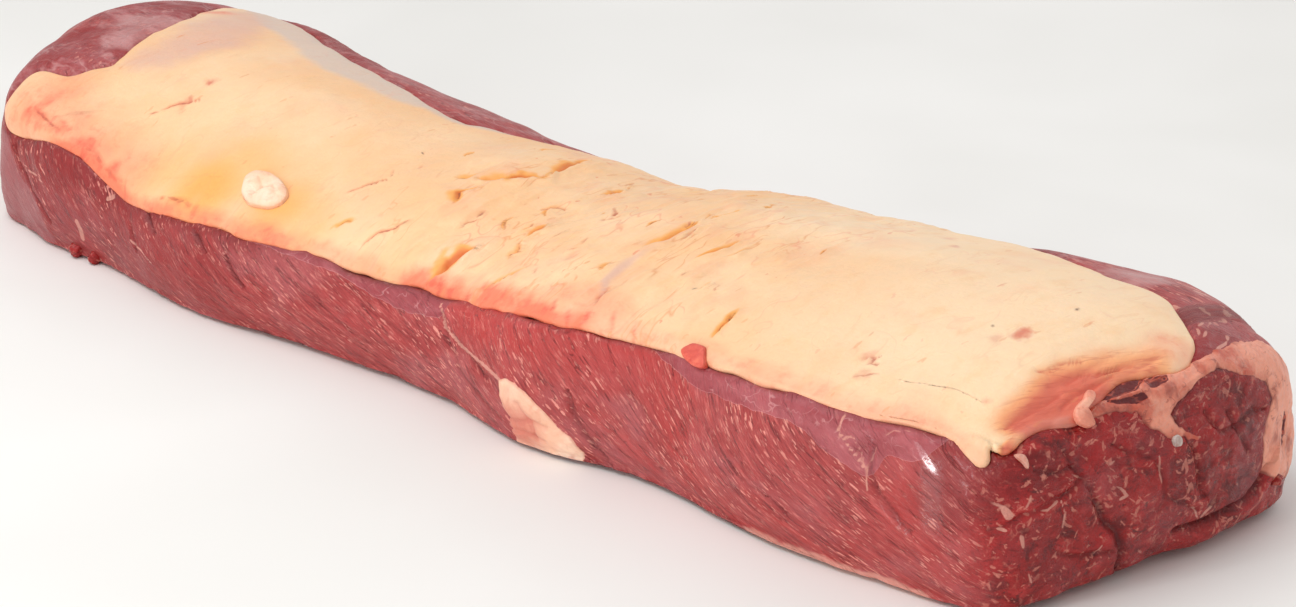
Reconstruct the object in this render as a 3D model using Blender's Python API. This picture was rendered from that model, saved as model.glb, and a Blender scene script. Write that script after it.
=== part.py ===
"""A whole raw beef striploin lying fat side up: one long muscle, its fat cap and the layers at its cut end.

Metres, +Z up. The meat lies along X on its flat underside, with the rump end at +X. Its origin is the
middle of its footprint. Every piece is cut out of one closed skin, so the pieces fit each other.
"""

import math

import bmesh
import bpy
from mathutils import Vector

# Driving dimensions, in metres.
LENGTH = 0.606  # from the middle of the rib end to the middle of the rump end
FAT_DEPTH = 0.008  # the cap away from its edge
FAT_EDGE_DEPTH = 0.003
SEAM_LENGTH = 0.050  # how far the layers of the rump end run into the joint
GAP = 0.0004  # kept between touching pieces
CAP_GAP = 0.0006  # the same under the cap, whose edges curve

# The trimmed outline along X, each as (x, value), read as one smooth curve.
FRONT_Y = (
    (-0.295, -0.0711),
    (-0.255, -0.0805),
    (-0.185, -0.0815),
    (-0.118, -0.0893),
    (-0.055, -0.0841),
    (0.015, -0.0815),
    (0.073, -0.0906),
    (0.125, -0.0837),
    (0.19, -0.0905),
    (0.255, -0.086),
    (0.305, -0.0812),
)
BACK_Y = (
    (-0.295, 0.0856),
    (-0.245, 0.0897),
    (-0.185, 0.08),
    (-0.145, 0.0758),
    (-0.105, 0.0753),
    (-0.06, 0.0719),
    (-0.015, 0.0689),
    (0.025, 0.0705),
    (0.065, 0.0778),
    (0.115, 0.0815),
    (0.165, 0.0854),
    (0.235, 0.0908),
    (0.27, 0.079),
    (0.305, 0.0654),
)
SHOULDER_Z = (
    (-0.295, 0.050),
    (-0.245, 0.049),
    (-0.185, 0.041),
    (-0.135, 0.036),
    (-0.068, 0.038),
    (0.015, 0.041),
    (0.085, 0.052),
    (0.160, 0.056),
    (0.235, 0.058),
    (0.305, 0.058),
)
CROWN_Z = (
    (-0.295, 0.0716),
    (-0.235, 0.0721),
    (-0.135, 0.0685),
    (-0.055, 0.0642),
    (-0.015, 0.0646),
    (0.025, 0.062),
    (0.065, 0.0683),
    (0.1, 0.0705),
    (0.135, 0.0713),
    (0.175, 0.0738),
    (0.215, 0.0749),
    (0.265, 0.0754),
    (0.305, 0.064),
)

# How far each end is cut aslant: what is added to x at each y.
RIB_SLANT = (
    (-0.087, 0.042),
    (-0.062, 0.028),
    (-0.032, 0.012),
    (-0.002, 0.002),
    (0.028, 0),
    (0.058, 0.002),
    (0.088, 0.012),
)
RUMP_SLANT = (
    (-0.097, -0.012),
    (-0.072, -0.010),
    (-0.042, -0.007),
    (-0.012, -0.003),
    (0.018, 0),
    (0.048, 0),
    (0.078, -0.004),
)
RIB_SLANT_REACH = 0.16
RUMP_SLANT_REACH = 0.10

# Each end: the depth of its rounded edge, how far that edge draws the section in, and which way it faces.
RIB_END = {"round": 0.022, "draw": 0.011, "out": -1}
RUMP_END = {"round": 0.024, "draw": 0.016, "out": 1}
FACE_BULGE = 0.006
END_SHARE = 0.1  # share of the skin's run that goes over each end
EDGE_SHARE = 0.4  # share of an end's run that is its rounded edge

# A section has 16 corner points, numbered round from the front of the underside and up over the top.
CORNERS = 16

# The fat cap's outline on the skin: "run" goes along from 0 to 1, and "turn" round the section's corners.
CAP_FRONT_TURN = (
    (0.07, 4.6),
    (0.15, 4.45),
    (0.25, 4.45),
    (0.34, 4.85),
    (0.45, 4.85),
    (0.60, 4.8),
    (0.70, 4.65),
    (0.80, 4.75),
    (0.93, 4.85),
)
CAP_BACK_TURN = (
    (0.11, 9.7),
    (0.16, 9.7),
    (0.24, 9.3),
    (0.32, 8.95),
    (0.39, 8.75),
    (0.46, 9.5),
    (0.56, 10.1),
    (0.65, 10.3),
    (0.73, 10.0),
    (0.80, 9.2),
    (0.87, 8.8),
    (0.93, 8.5),
)
# Where the cap stops at each end: the share of the way across from its front edge, and the run there.
CAP_RIB_RUN = (
    (0, 0.078),
    (0.15, 0.098),
    (0.30, 0.138),
    (0.45, 0.158),
    (0.65, 0.158),
    (0.85, 0.138),
    (1, 0.113),
)
CAP_RUMP_RUN = (
    (0, 0.903),
    (0.15, 0.914),
    (0.35, 0.926),
    (0.60, 0.931),
    (0.80, 0.918),
    (1, 0.870),
)

# Outlines on the rump end, as (y, z), and on the front side, as (x, z).
SEAM_OUTLINE = (
    (-0.050, 0.0620),
    (-0.050, 0.0800),
    (0.014, 0.0800),
    (0.020, 0.0700),
    (0.036, 0.0705),
    (0.052, 0.0655),
    (0.064, 0.0520),
    (0.075, 0.0340),
    (0.075, 0.0120),
    (0.058, 0.0120),
    (0.056, 0.0300),
    (0.051, 0.0450),
    (0.044, 0.0560),
    (0.032, 0.0620),
    (0.018, 0.0620),
    (0.006, 0.0590),
    (-0.003, 0.0520),
    (-0.005, 0.0440),
    (-0.012, 0.0500),
    (-0.024, 0.0570),
)
END_MUSCLE_OUTLINE = (
    (-0.004, 0.0480),
    (0.002, 0.0640),
    (0.040, 0.0660),
    (0.058, 0.0500),
    (0.062, 0.0160),
    (0.048, 0.0170),
    (0.024, 0.0220),
    (0.008, 0.0300),
)
SIDE_FAT_OUTLINE = (
    (0.062, 0.017),
    (0.064, 0.025),
    (0.072, 0.028),
    (0.082, 0.023),
    (0.093, 0.015),
    (0.102, 0.006),
    (0.092, 0.002),
    (0.070, 0.002),
    (0.065, 0.009),
)
SIDE_FAT_DEPTH = 0.005

NODULE = {"run": 0.351, "turn": 5.72, "long": 0.0270, "short": 0.0185, "thick": 0.0052, "angle": 12}

CAP_LENGTH = 0.52  # about, to turn a distance into a share
CAP_WIDTH = 0.11
CAP_ROWS_ALONG = 36
CAP_ROWS_ACROSS = 12
STATIONS = 46
ROUND_SECTION = 40
END_RINGS = 5  # on each end's rounded edge
FACE_RINGS = (0.45, 0.8)  # shrinking rings on each end face


def along(curve, place):
    """The value at a place on a smooth curve through (place, value) pairs."""
    if place <= curve[0][0]:
        return curve[0][1]
    if place >= curve[-1][0]:
        return curve[-1][1]
    i = next(n for n in range(1, len(curve)) if place <= curve[n][0])
    before, start = curve[max(i - 2, 0)], curve[i - 1]
    end, after = curve[i], curve[min(i + 1, len(curve) - 1)]
    span = end[0] - start[0]
    t = (place - start[0]) / span
    leaving = (end[1] - before[1]) / (end[0] - before[0]) * span
    arriving = (after[1] - start[1]) / (after[0] - start[0]) * span
    return (
        start[1] * (2 * t**3 - 3 * t**2 + 1)
        + leaving * (t**3 - 2 * t**2 + t)
        + end[1] * (3 * t**2 - 2 * t**3)
        + arriving * (t**3 - t**2)
    )


def ease(t):
    """0 to 1 with a soft start and end."""
    t = min(max(t, 0.0), 1.0)
    return t * t * (3 - 2 * t)


def section_corners(x):
    """The 16 corner points, as (y, z), of the section at x."""
    front = along(FRONT_Y, x)
    back = along(BACK_Y, x)
    shoulder = along(SHOULDER_Z, x)
    crown = along(CROWN_Z, x)
    width = back - front
    return (
        (front + 0.012, 0),
        (front + 0.003, 0.004),
        (front, 0.016),
        (front + 0.0005, shoulder * 0.55),
        (front + 0.002, shoulder - 0.010),
        (front + 0.008, shoulder + 0.001),
        (front + 0.22 * width, shoulder + 0.62 * (crown - shoulder)),
        (front + 0.40 * width, crown - 0.0015),
        (front + 0.58 * width, crown),
        (front + 0.75 * width, crown - 0.004),
        (back - 0.016, crown - 0.012),
        (back - 0.004, crown - 0.026),
        (back, 0.024),
        (back - 0.003, 0.007),
        (back - 0.014, 0),
        (front + 0.5 * width, 0),
    )


def section_point(x, turn):
    """(y, z) on the closed smooth curve through the section's corners, never below the underside."""
    corners = section_corners(x)
    i = math.floor(turn)
    t = turn - i
    before, start, end, after = (Vector(corners[(i + k) % CORNERS]) for k in (-1, 0, 1, 2))
    leaving = (end - before) / 2
    arriving = (after - start) / 2
    place = start * (2 * t**3 - 3 * t**2 + 1) + leaving * (t**3 - 2 * t**2 + t)
    place += end * (3 * t**2 - 2 * t**3) + arriving * (t**3 - t**2)
    return place.x, max(place.y, 0.0)


def slanted(x, y):
    """x moved by the slant of the nearer end."""
    rib = ease((RIB_SLANT_REACH - LENGTH / 2 - x) / RIB_SLANT_REACH)
    rump = ease((x + RUMP_SLANT_REACH - LENGTH / 2) / RUMP_SLANT_REACH)
    return x + along(RIB_SLANT, y) * rib + along(RUMP_SLANT, y) * rump


def skin_point(run, turn):
    """The skin's point at run (0 the middle of the rib end, 1 the middle of the rump end) and turn."""
    low = RIB_END["round"] - LENGTH / 2
    high = LENGTH / 2 - RUMP_END["round"]
    if END_SHARE <= run <= 1 - END_SHARE:
        x = low + (run - END_SHARE) / (1 - 2 * END_SHARE) * (high - low)
        y, z = section_point(x, turn)
        return Vector((slanted(x, y), y, z))
    end = RIB_END if run < END_SHARE else RUMP_END
    inward = 1 - min(run, 1 - run) / END_SHARE
    angle = min(inward / EDGE_SHARE, 1) * math.pi / 2
    on_face = max((inward - EDGE_SHARE) / (1 - EDGE_SHARE), 0)
    base = low if run < END_SHARE else high
    x = base + end["out"] * (end["round"] - 0.010) * 0.6 * math.sin(angle)
    y, z = section_point(x, turn)
    front = along(FRONT_Y, x)
    back = along(BACK_Y, x)
    crown = along(CROWN_Z, x)
    middle_y = (front + back) / 2
    middle_z = 0.42 * crown
    drawn = end["draw"] * (1 - math.cos(angle))
    half = (back - front) / 2
    y = middle_y + (y - middle_y) * (half - drawn) / half * (1 - on_face)
    above = crown - middle_z
    shrink = (above - 0.8 * drawn) / above if z > middle_z else (middle_z - 0.3 * drawn) / middle_z
    z = middle_z + (z - middle_z) * shrink * (1 - on_face)
    reach = (end["round"] - FACE_BULGE) * math.sin(angle) + FACE_BULGE * (1 - (1 - on_face) ** 2)
    return Vector((slanted(base + end["out"] * reach, y), y, z))


def skin_normal(run, turn):
    step = 0.002
    across = skin_point(run + step, turn) - skin_point(run - step, turn)
    round_about = skin_point(run, turn + 10 * step) - skin_point(run, turn - 10 * step)
    return round_about.cross(across).normalized() * -1


def finish(name, bm, collection):
    """A mesh object in the collection, with its faces out and shaded smooth.

    Quads are split the same way everywhere, so that two cutters a gap apart stay parallel.
    """
    bmesh.ops.triangulate(bm, faces=bm.faces, quad_method="FIXED")
    bmesh.ops.recalc_face_normals(bm, faces=bm.faces)
    mesh = bpy.data.meshes.new(name)
    bm.to_mesh(mesh)
    bm.free()
    obj = bpy.data.objects.new(name, mesh)
    collection.objects.link(obj)
    mesh.shade_smooth()
    mesh.set_sharp_from_angle(angle=math.radians(35))
    return obj


def as_helper(obj):
    """Marks a cutter, which the model leaves out."""
    obj.hide_render = True
    obj.display_type = "WIRE"
    return obj


def bridge(bm, rows, closed):
    """Faces between neighbouring rows of vertices."""
    for lower, upper in zip(rows, rows[1:]):
        count = len(lower)
        for j in range(count if closed else count - 1):
            k = (j + 1) % count
            bm.faces.new((lower[j], lower[k], upper[k], upper[j]))


def whole_skin(collection):
    """The closed skin of the whole joint: rings round the section, and a fan in the middle of each end."""
    bm = bmesh.new()
    edge_runs = [END_SHARE * EDGE_SHARE * n / END_RINGS for n in range(END_RINGS, 0, -1)]
    face_runs = [END_SHARE * (EDGE_SHARE + (1 - EDGE_SHARE) * f) for f in FACE_RINGS]
    end_runs = sorted(END_SHARE - r for r in face_runs + edge_runs)
    body_runs = [END_SHARE + (1 - 2 * END_SHARE) * n / STATIONS for n in range(STATIONS + 1)]
    runs = end_runs + body_runs + [1 - r for r in reversed(end_runs)]
    rows = []
    for run in runs:
        row = [bm.verts.new(skin_point(run, CORNERS * j / ROUND_SECTION)) for j in range(ROUND_SECTION)]
        rows.append(row)
    bridge(bm, rows, closed=True)
    for row, run in ((rows[0], 0), (rows[-1], 1)):
        middle = bm.verts.new(skin_point(run, 0))
        for j in range(ROUND_SECTION):
            bm.faces.new((row[j], row[(j + 1) % ROUND_SECTION], middle))
    return as_helper(finish("whole_skin", bm, collection))


def cap_place(s, t):
    """(run, turn) on the skin for s along the cap and t across it, both from 0 to 1."""
    run = along(CAP_RIB_RUN, t) * (1 - s) + along(CAP_RUMP_RUN, t) * s
    turn = along(CAP_FRONT_TURN, run) * (1 - t) + along(CAP_BACK_TURN, run) * t
    return run, turn


def cap_slab(name, extra, collection):
    """The cap's cutter: from the fat's underside, inside the skin, to well outside it, and extra all round."""
    clear = 0.008
    extra_along = 2 * extra / CAP_LENGTH  # its ends run aslant, so they need twice as much
    extra_across = extra / CAP_WIDTH
    bm = bmesh.new()
    layers = []
    for top in (False, True):
        rows = []
        for i in range(CAP_ROWS_ALONG + 1):
            s = i / CAP_ROWS_ALONG
            row = []
            for j in range(CAP_ROWS_ACROSS + 1):
                t = j / CAP_ROWS_ACROSS
                inside = min(s / 0.04, (1 - s) / 0.04, t / 0.12, (1 - t) / 0.12)
                depth = FAT_EDGE_DEPTH + (FAT_DEPTH - FAT_EDGE_DEPTH) * ease(inside)
                wider_s = s + extra_along * ((s == 1) - (s == 0))
                wider_t = t + extra_across * ((t == 1) - (t == 0))
                run, turn = cap_place(wider_s, wider_t)
                lift = clear if top else -depth - extra
                row.append(bm.verts.new(skin_point(run, turn) + skin_normal(run, turn) * lift))
            rows.append(row)
        bridge(bm, rows, closed=False)
        layers.append(rows)
    rims = []
    for rows in layers:
        near = [row[0] for row in rows]
        far = [row[-1] for row in rows]
        rims.append(rows[0][:-1] + far[:-1] + rows[-1][:0:-1] + near[:0:-1])
    bridge(bm, rims, closed=True)
    return as_helper(finish(name, bm, collection))


def prism(name, outline, across, start, end, taper, collection):
    """An outline extruded from start to end, along X or Y, and drawn in by taper at its start."""
    curve = bpy.data.curves.new(name, "CURVE")
    curve.dimensions = "2D"
    curve.fill_mode = "BOTH"
    curve.extrude = (end - start) / 2
    spline = curve.splines.new("POLY")
    spline.points.add(len(outline) - 1)
    for point, (flat, z) in zip(spline.points, outline):
        point.co = (flat, z, 0, 1)
    spline.use_cyclic_u = True
    source = bpy.data.objects.new(name, curve)
    collection.objects.link(source)
    graph = bpy.context.evaluated_depsgraph_get()
    bm = bmesh.new()
    bm.from_mesh(bpy.data.meshes.new_from_object(source.evaluated_get(graph)))
    bpy.data.objects.remove(source)
    bmesh.ops.remove_doubles(bm, verts=bm.verts, dist=0.00001)
    middle_flat = sum(p[0] for p in outline) / len(outline)
    middle_z = sum(p[1] for p in outline) / len(outline)
    for vert in bm.verts:
        flat, z, depth = vert.co
        if depth < 0:
            flat = middle_flat + (flat - middle_flat) * taper
            z = middle_z + (z - middle_z) * taper
        place = start if depth < 0 else end
        vert.co = (place, flat, z) if across == "X" else (flat, place, z)
    return as_helper(finish(name, bm, collection))


def nodule_shape(name, collection):
    """A flat oval lump lying half sunk in the cap."""
    place = skin_point(NODULE["run"], NODULE["turn"])
    up = skin_normal(NODULE["run"], NODULE["turn"])
    angle = math.radians(NODULE["angle"])
    long_way = Vector((math.cos(angle), math.sin(angle), 0))
    long_way = (long_way - up * long_way.dot(up)).normalized()
    short_way = up.cross(long_way)
    bm = bmesh.new()
    bmesh.ops.create_uvsphere(bm, u_segments=20, v_segments=10, radius=0.5)
    for vert in bm.verts:
        x, y, z = vert.co
        vert.co = place + long_way * x * NODULE["long"] + short_way * y * NODULE["short"]
        vert.co += up * z * NODULE["thick"]
    return finish(name, bm, collection)


def grown(obj):
    """A copy of a cutter that is larger by the gap all round."""
    copy = obj.copy()
    copy.name = obj.name + "_grown"
    obj.users_collection[0].objects.link(copy)
    displace = copy.modifiers.new("gap", "DISPLACE")
    displace.strength = GAP
    displace.mid_level = 0
    return as_helper(copy)


def piece(name, skin, keep, remove, collection):
    """The part of the skin's solid that lies in keep and outside every shape in remove."""
    obj = bpy.data.objects.new(name, skin.data.copy())
    collection.objects.link(obj)
    cutters = [("INTERSECT", keep)] if keep else []
    cutters += [("DIFFERENCE", other) for other in remove]
    for operation, other in cutters:
        boolean = obj.modifiers.new(other.name, "BOOLEAN")
        boolean.operation = operation
        boolean.object = other
    return obj


def material(name, colour, roughness):
    made = bpy.data.materials.new(name)
    made.use_nodes = True
    shader = made.node_tree.nodes["Principled BSDF"]
    shader.inputs["Base Color"].default_value = (*colour, 1)
    shader.inputs["Roughness"].default_value = roughness
    shader.inputs["Metallic"].default_value = 0
    return made


def main():
    for obj in list(bpy.data.objects):
        bpy.data.objects.remove(obj)
    parts = bpy.data.collections.new("raw_striploin")
    cutters = bpy.data.collections.new("cutters")
    for collection in (parts, cutters):
        bpy.context.scene.collection.children.link(collection)

    skin = whole_skin(cutters)
    cap = cap_slab("cap", 0, cutters)
    wide_cap = cap_slab("wide_cap", CAP_GAP, cutters)
    rump = LENGTH / 2
    deep = rump - SEAM_LENGTH
    seam = prism("seam", SEAM_OUTLINE, "X", deep, rump + 0.01, 0.82, cutters)
    muscle = prism("muscle", END_MUSCLE_OUTLINE, "X", deep, rump + 0.01, 0.82, cutters)
    front = along(FRONT_Y, SIDE_FAT_OUTLINE[2][0])
    patch = prism("patch", SIDE_FAT_OUTLINE, "Y", front - 0.01, front + SIDE_FAT_DEPTH, 1, cutters)
    lump = as_helper(nodule_shape("lump", cutters))
    wide_seam, wide_muscle, wide_patch, wide_lump = map(grown, (seam, muscle, patch, lump))

    lean = piece("lean", skin, None, [wide_cap, wide_seam, wide_muscle, wide_patch], parts)
    fat_cap = piece("fat_cap", skin, cap, [wide_lump], parts)
    seam_fat = piece("seam_fat", skin, seam, [wide_cap], parts)
    end_muscle = piece("end_muscle", skin, muscle, [wide_cap, wide_seam], parts)
    side_fat = piece("side_fat", skin, patch, [], parts)
    nodule = nodule_shape("nodule", parts)

    red = material("lean_meat", (0.27, 0.035, 0.035), 0.38)
    dark_red = material("end_muscle_meat", (0.20, 0.022, 0.025), 0.40)
    cream = material("cap_fat", (0.88, 0.62, 0.38), 0.45)
    pink_fat = material("seam_fat_tissue", (0.72, 0.38, 0.30), 0.45)
    side_tissue = material("side_fat_tissue", (0.78, 0.48, 0.38), 0.45)
    white = material("nodule_tissue", (0.92, 0.82, 0.72), 0.50)
    meats = ((lean, red), (end_muscle, dark_red))
    fats = ((fat_cap, cream), (seam_fat, pink_fat), (side_fat, side_tissue), (nodule, white))
    for obj, look in meats + fats:
        obj.data.materials.clear()
        obj.data.materials.append(look)


main()
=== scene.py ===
import math

import bpy
import numpy as np
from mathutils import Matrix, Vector
from mathutils.bvhtree import BVHTree


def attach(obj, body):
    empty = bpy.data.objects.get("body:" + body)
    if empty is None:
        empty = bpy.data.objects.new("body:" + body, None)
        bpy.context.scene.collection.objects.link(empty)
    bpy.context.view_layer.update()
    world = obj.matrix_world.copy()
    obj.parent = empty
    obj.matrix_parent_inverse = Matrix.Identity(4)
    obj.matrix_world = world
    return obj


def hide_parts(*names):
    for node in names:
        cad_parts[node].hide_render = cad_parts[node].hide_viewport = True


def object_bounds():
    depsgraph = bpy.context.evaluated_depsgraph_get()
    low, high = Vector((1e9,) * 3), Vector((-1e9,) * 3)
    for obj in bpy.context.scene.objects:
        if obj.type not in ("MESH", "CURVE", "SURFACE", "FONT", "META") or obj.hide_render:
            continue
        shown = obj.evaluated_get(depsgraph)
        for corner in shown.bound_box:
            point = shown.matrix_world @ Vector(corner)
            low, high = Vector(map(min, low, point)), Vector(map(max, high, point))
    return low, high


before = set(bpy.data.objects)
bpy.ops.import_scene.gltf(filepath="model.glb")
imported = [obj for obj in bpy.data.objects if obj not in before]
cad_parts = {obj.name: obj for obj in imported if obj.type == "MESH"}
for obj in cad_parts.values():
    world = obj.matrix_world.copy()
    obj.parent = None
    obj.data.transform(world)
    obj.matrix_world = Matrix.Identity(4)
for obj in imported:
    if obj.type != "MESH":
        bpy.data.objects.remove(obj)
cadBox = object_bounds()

boxLow = np.array(cadBox[0])
boxHigh = np.array(cadBox[1])
boxMiddle = (boxLow + boxHigh) / 2

# view, light and floor
view = {
    "aim": (0.075, -0.028, 0.040),
    "azimuth": 45.0,
    "elevation": 20.5,
    "distance": 1.30,
    "lens": 100.0,
}
lights = {
    "above": {"place": (-0.25, -0.55, 1.25), "size": (1.3, 1.0), "watts": 9.0},
    "front": {"place": (0.10, -1.45, 0.42), "size": (0.9, 0.5), "watts": 1.5},
    "window": {"place": (0.04, -0.94, 0.10), "size": (0.06, 0.46), "watts": 2.6},
    "behind": {"place": (0.35, 1.20, 0.75), "size": (1.0, 0.6), "watts": 2.0},
}
sky = {"strength": 0.62, "colour": (1.0, 0.99, 0.975)}


def direction(azimuth, elevation):
    a = math.radians(azimuth)
    e = math.radians(elevation)
    return Vector((math.sin(a) * math.cos(e), -math.cos(a) * math.cos(e), math.sin(e)))


def lookFrom(thing, place, aim):
    thing.location = place
    thing.rotation_euler = (Vector(aim) - Vector(place)).to_track_quat("-Z", "Y").to_euler()


def makeCamera():
    lens = bpy.data.cameras.new("camera")
    lens.lens = view["lens"]
    lens.clip_end = 30
    camera = bpy.data.objects.new("camera", lens)
    bpy.context.scene.collection.objects.link(camera)
    aim = Vector(view["aim"])
    lookFrom(camera, aim + direction(view["azimuth"], view["elevation"]) * view["distance"], aim)
    bpy.context.scene.camera = camera


def makeLights():
    for name, values in lights.items():
        lamp = bpy.data.lights.new(name, "AREA")
        lamp.shape = "RECTANGLE"
        lamp.size, lamp.size_y = values["size"]
        lamp.energy = values["watts"]
        holder = bpy.data.objects.new(name, lamp)
        bpy.context.scene.collection.objects.link(holder)
        lookFrom(holder, values["place"], (0.05, -0.02, 0.04))
    world = bpy.data.worlds.new("studio")
    world.use_nodes = True
    background = world.node_tree.nodes["Background"]
    background.inputs["Color"].default_value = (*sky["colour"], 1)
    background.inputs["Strength"].default_value = sky["strength"]
    bpy.context.scene.world = world
    bpy.context.scene.view_settings.view_transform = "Standard"


makeCamera()
makeLights()
print("view and lights ready")

# the strip's bare form
form = {
    "ribEnd": -0.303,
    "rumpEnd": 0.303,
    "ribRound": 0.022,
    "rumpRound": 0.024,
    "bulge": 0.006,
    "front": [(-.295, -.0711), (-.255, -.0805), (-.185, -.0815), (-.118, -.0893), (-.055, -.0841),
              (.015, -.0815), (.073, -.0906), (.125, -.0837), (.190, -.0905), (.255, -.0860), (.305, -.0812)],
    "back": [(-.295, .0856), (-.245, .0897), (-.185, .0800), (-.145, .0758), (-.105, .0753), (-.060, .0719),
              (-.015, .0689), (.025, .0705), (.065, .0778), (.115, .0815), (.165, .0854), (.235, .0908),
              (.270, .0790), (.305, .0654)],
    "shoulder": [(-.295, .050), (-.245, .049), (-.185, .041), (-.135, .036), (-.068, .038), (.015, .041),
                 (.085, .052), (.160, .056), (.235, .058), (.305, .058)],
    "crown": [(-.295, .0716), (-.235, .0721), (-.135, .0685), (-.055, .0642), (-.015, .0646), (.025, .0620),
              (.065, .0683), (.100, .0705), (.135, .0713), (.175, .0738), (.215, .0749), (.265, .0754),
              (.305, .0640)],
    "ribSlant": [(-.087, .042), (-.062, .028), (-.032, .012), (-.002, .002), (.028, 0), (.058, .002), (.088, .012)],
    "rumpSlant": [(-.097, -.012), (-.072, -.010), (-.042, -.007), (-.012, -.003), (.018, 0), (.048, 0), (.078, -.004)],
}
turnCorners = 16


def alongCurve(pairs, place):
    knots = np.array(pairs, float)
    k = knots[:, 0]
    v = knots[:, 1]
    x = np.clip(np.asarray(place, float), k[0], k[-1])
    slope = np.empty(len(k))
    slope[1:-1] = (v[2:] - v[:-2]) / (k[2:] - k[:-2])
    slope[0] = (v[1] - v[0]) / (k[1] - k[0])
    slope[-1] = (v[-1] - v[-2]) / (k[-1] - k[-2])
    i = np.clip(np.searchsorted(k, x, side="right") - 1, 0, len(k) - 2)
    h = k[i + 1] - k[i]
    t = (x - k[i]) / h
    return (v[i] * (2 * t**3 - 3 * t**2 + 1) + slope[i] * h * (t**3 - 2 * t**2 + t)
            + v[i + 1] * (3 * t**2 - 2 * t**3) + slope[i + 1] * h * (t**3 - t**2))


def ease(low, high, value):
    t = np.clip((value - low) / (high - low), 0, 1)
    return t * t * (3 - 2 * t)


def crossSection(x, turn):
    front = alongCurve(form["front"], x)
    back = alongCurve(form["back"], x)
    side = alongCurve(form["shoulder"], x)
    crown = alongCurve(form["crown"], x)
    wide = back - front
    zero = 0 * x
    y = np.stack([front + .012, front + .003, front, front + .0005, front + .002, front + .008, front + .22 * wide,
                  front + .40 * wide, front + .58 * wide, front + .75 * wide, back - .016, back - .004, back,
                  back - .003, back - .014, front + .5 * wide], -1)
    z = np.stack([zero, zero + .004, zero + .016, side * .55, side - .010, side + .001, side + .62 * (crown - side),
                  crown - .0015, crown, crown - .004, crown - .012, crown - .026, zero + .024, zero + .007, zero,
                  zero], -1)
    corner = np.floor(turn).astype(int)
    t = turn - corner

    def through(values):
        p0, p1, p2, p3 = (np.take_along_axis(values, ((corner + k) % turnCorners)[..., None], -1)[..., 0]
                          for k in (-1, 0, 1, 2))
        return .5 * (2 * p1 + (p2 - p0) * t + (2 * p0 - 5 * p1 + 4 * p2 - p3) * t * t
                     + (3 * p1 - p0 - 3 * p2 + p3) * t**3)

    return through(y), np.maximum(through(z), 0)


def skin(run, turn):  # run goes 0 to 1 from rib end to rump end, turn 0 to 16 round from the front foot
    run, turn = np.broadcast_arrays(np.asarray(run, float), np.asarray(turn, float))
    ribStart = form["ribEnd"] + form["ribRound"]
    rumpStart = form["rumpEnd"] - form["rumpRound"]
    rib = run < .1
    rump = run > .9
    past = np.where(rib, (.1 - run) / .1, np.where(rump, (run - .9) / .1, 0))
    bend = np.clip(past / .4, 0, 1) * math.pi / 2
    face = np.clip((past - .4) / .6, 0, 1)
    body = np.clip(ribStart + (run - .1) / .8 * (rumpStart - ribStart), ribStart, rumpStart)
    radius = np.where(rib, form["ribRound"], form["rumpRound"])
    reach = (radius - .010) * np.sin(bend) * .6
    x = np.where(rib, ribStart - reach, np.where(rump, rumpStart + reach, body))
    y, z = crossSection(x, turn)
    front = alongCurve(form["front"], x)
    back = alongCurve(form["back"], x)
    middle = (front + back) / 2
    half = (back - front) / 2
    crown = alongCurve(form["crown"], x)
    centre = .42 * crown
    drop = np.where(rib, .011, .016) * (1 - np.cos(bend))
    shrinkY = (half - drop) / half * (1 - face)
    shrinkZ = np.where(z > centre, (crown - centre - drop * .8) / (crown - centre), (centre - drop * .3) / centre)
    y = middle + (y - middle) * shrinkY
    z = centre + (z - centre) * shrinkZ * (1 - face)
    out = (radius - form["bulge"]) * np.sin(bend) + form["bulge"] * (1 - (1 - face)**2)
    x = np.where(rib, ribStart - out, np.where(rump, rumpStart + out, body))
    ribSkew = ease(0, 1, (form["ribEnd"] + .16 - x) / .16) * alongCurve(form["ribSlant"], y)
    rumpSkew = ease(0, 1, (x - form["rumpEnd"] + .10) / .10) * alongCurve(form["rumpSlant"], y)
    return np.stack([x + ribSkew + rumpSkew, y, z], -1)


def unit(vectors):
    return vectors / np.maximum(np.linalg.norm(vectors, axis=-1, keepdims=True), 1e-12)


def skinNormal(run, turn):
    run = np.clip(run, .003, .997)
    alongStep = skin(run + .002, turn) - skin(run - .002, turn)
    roundStep = skin(run, turn + .04) - skin(run, turn - .04)
    return unit(np.cross(alongStep, roundStep))


# unevenness
def cellValue(cell, seed):
    h = cell[..., 0] * 374761393 + cell[..., 1] * 668265263 + cell[..., 2] * 2147483647 + seed * 1274126177
    h = (h ^ (h >> 13)) & 0xffffffff
    h = (h * 1274126177) & 0xffffffff
    h = h ^ (h >> 16)
    return (h & 0xffff) / 32767.5 - 1


def lumps(points, size, seed=0):  # smooth random heights, about -1 to 1
    q = points / np.asarray(size)
    cell = np.floor(q).astype(np.int64)
    f = q - cell
    f = f**3 * (f * (f * 6 - 15) + 10)
    total = 0
    for i in (0, 1):
        for j in (0, 1):
            for k in (0, 1):
                weight = (np.where(i, f[..., 0], 1 - f[..., 0]) * np.where(j, f[..., 1], 1 - f[..., 1])
                          * np.where(k, f[..., 2], 1 - f[..., 2]))
                total = total + weight * cellValue(cell + np.array([i, j, k]), seed)
    return total


def layeredLumps(points, size, layers, seed=0):
    total = 0
    for layer in range(layers):
        total = total + lumps(points + layer * .37, np.asarray(size) / 2**layer, seed + layer) / 2**layer
    return total / 1.6


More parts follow.
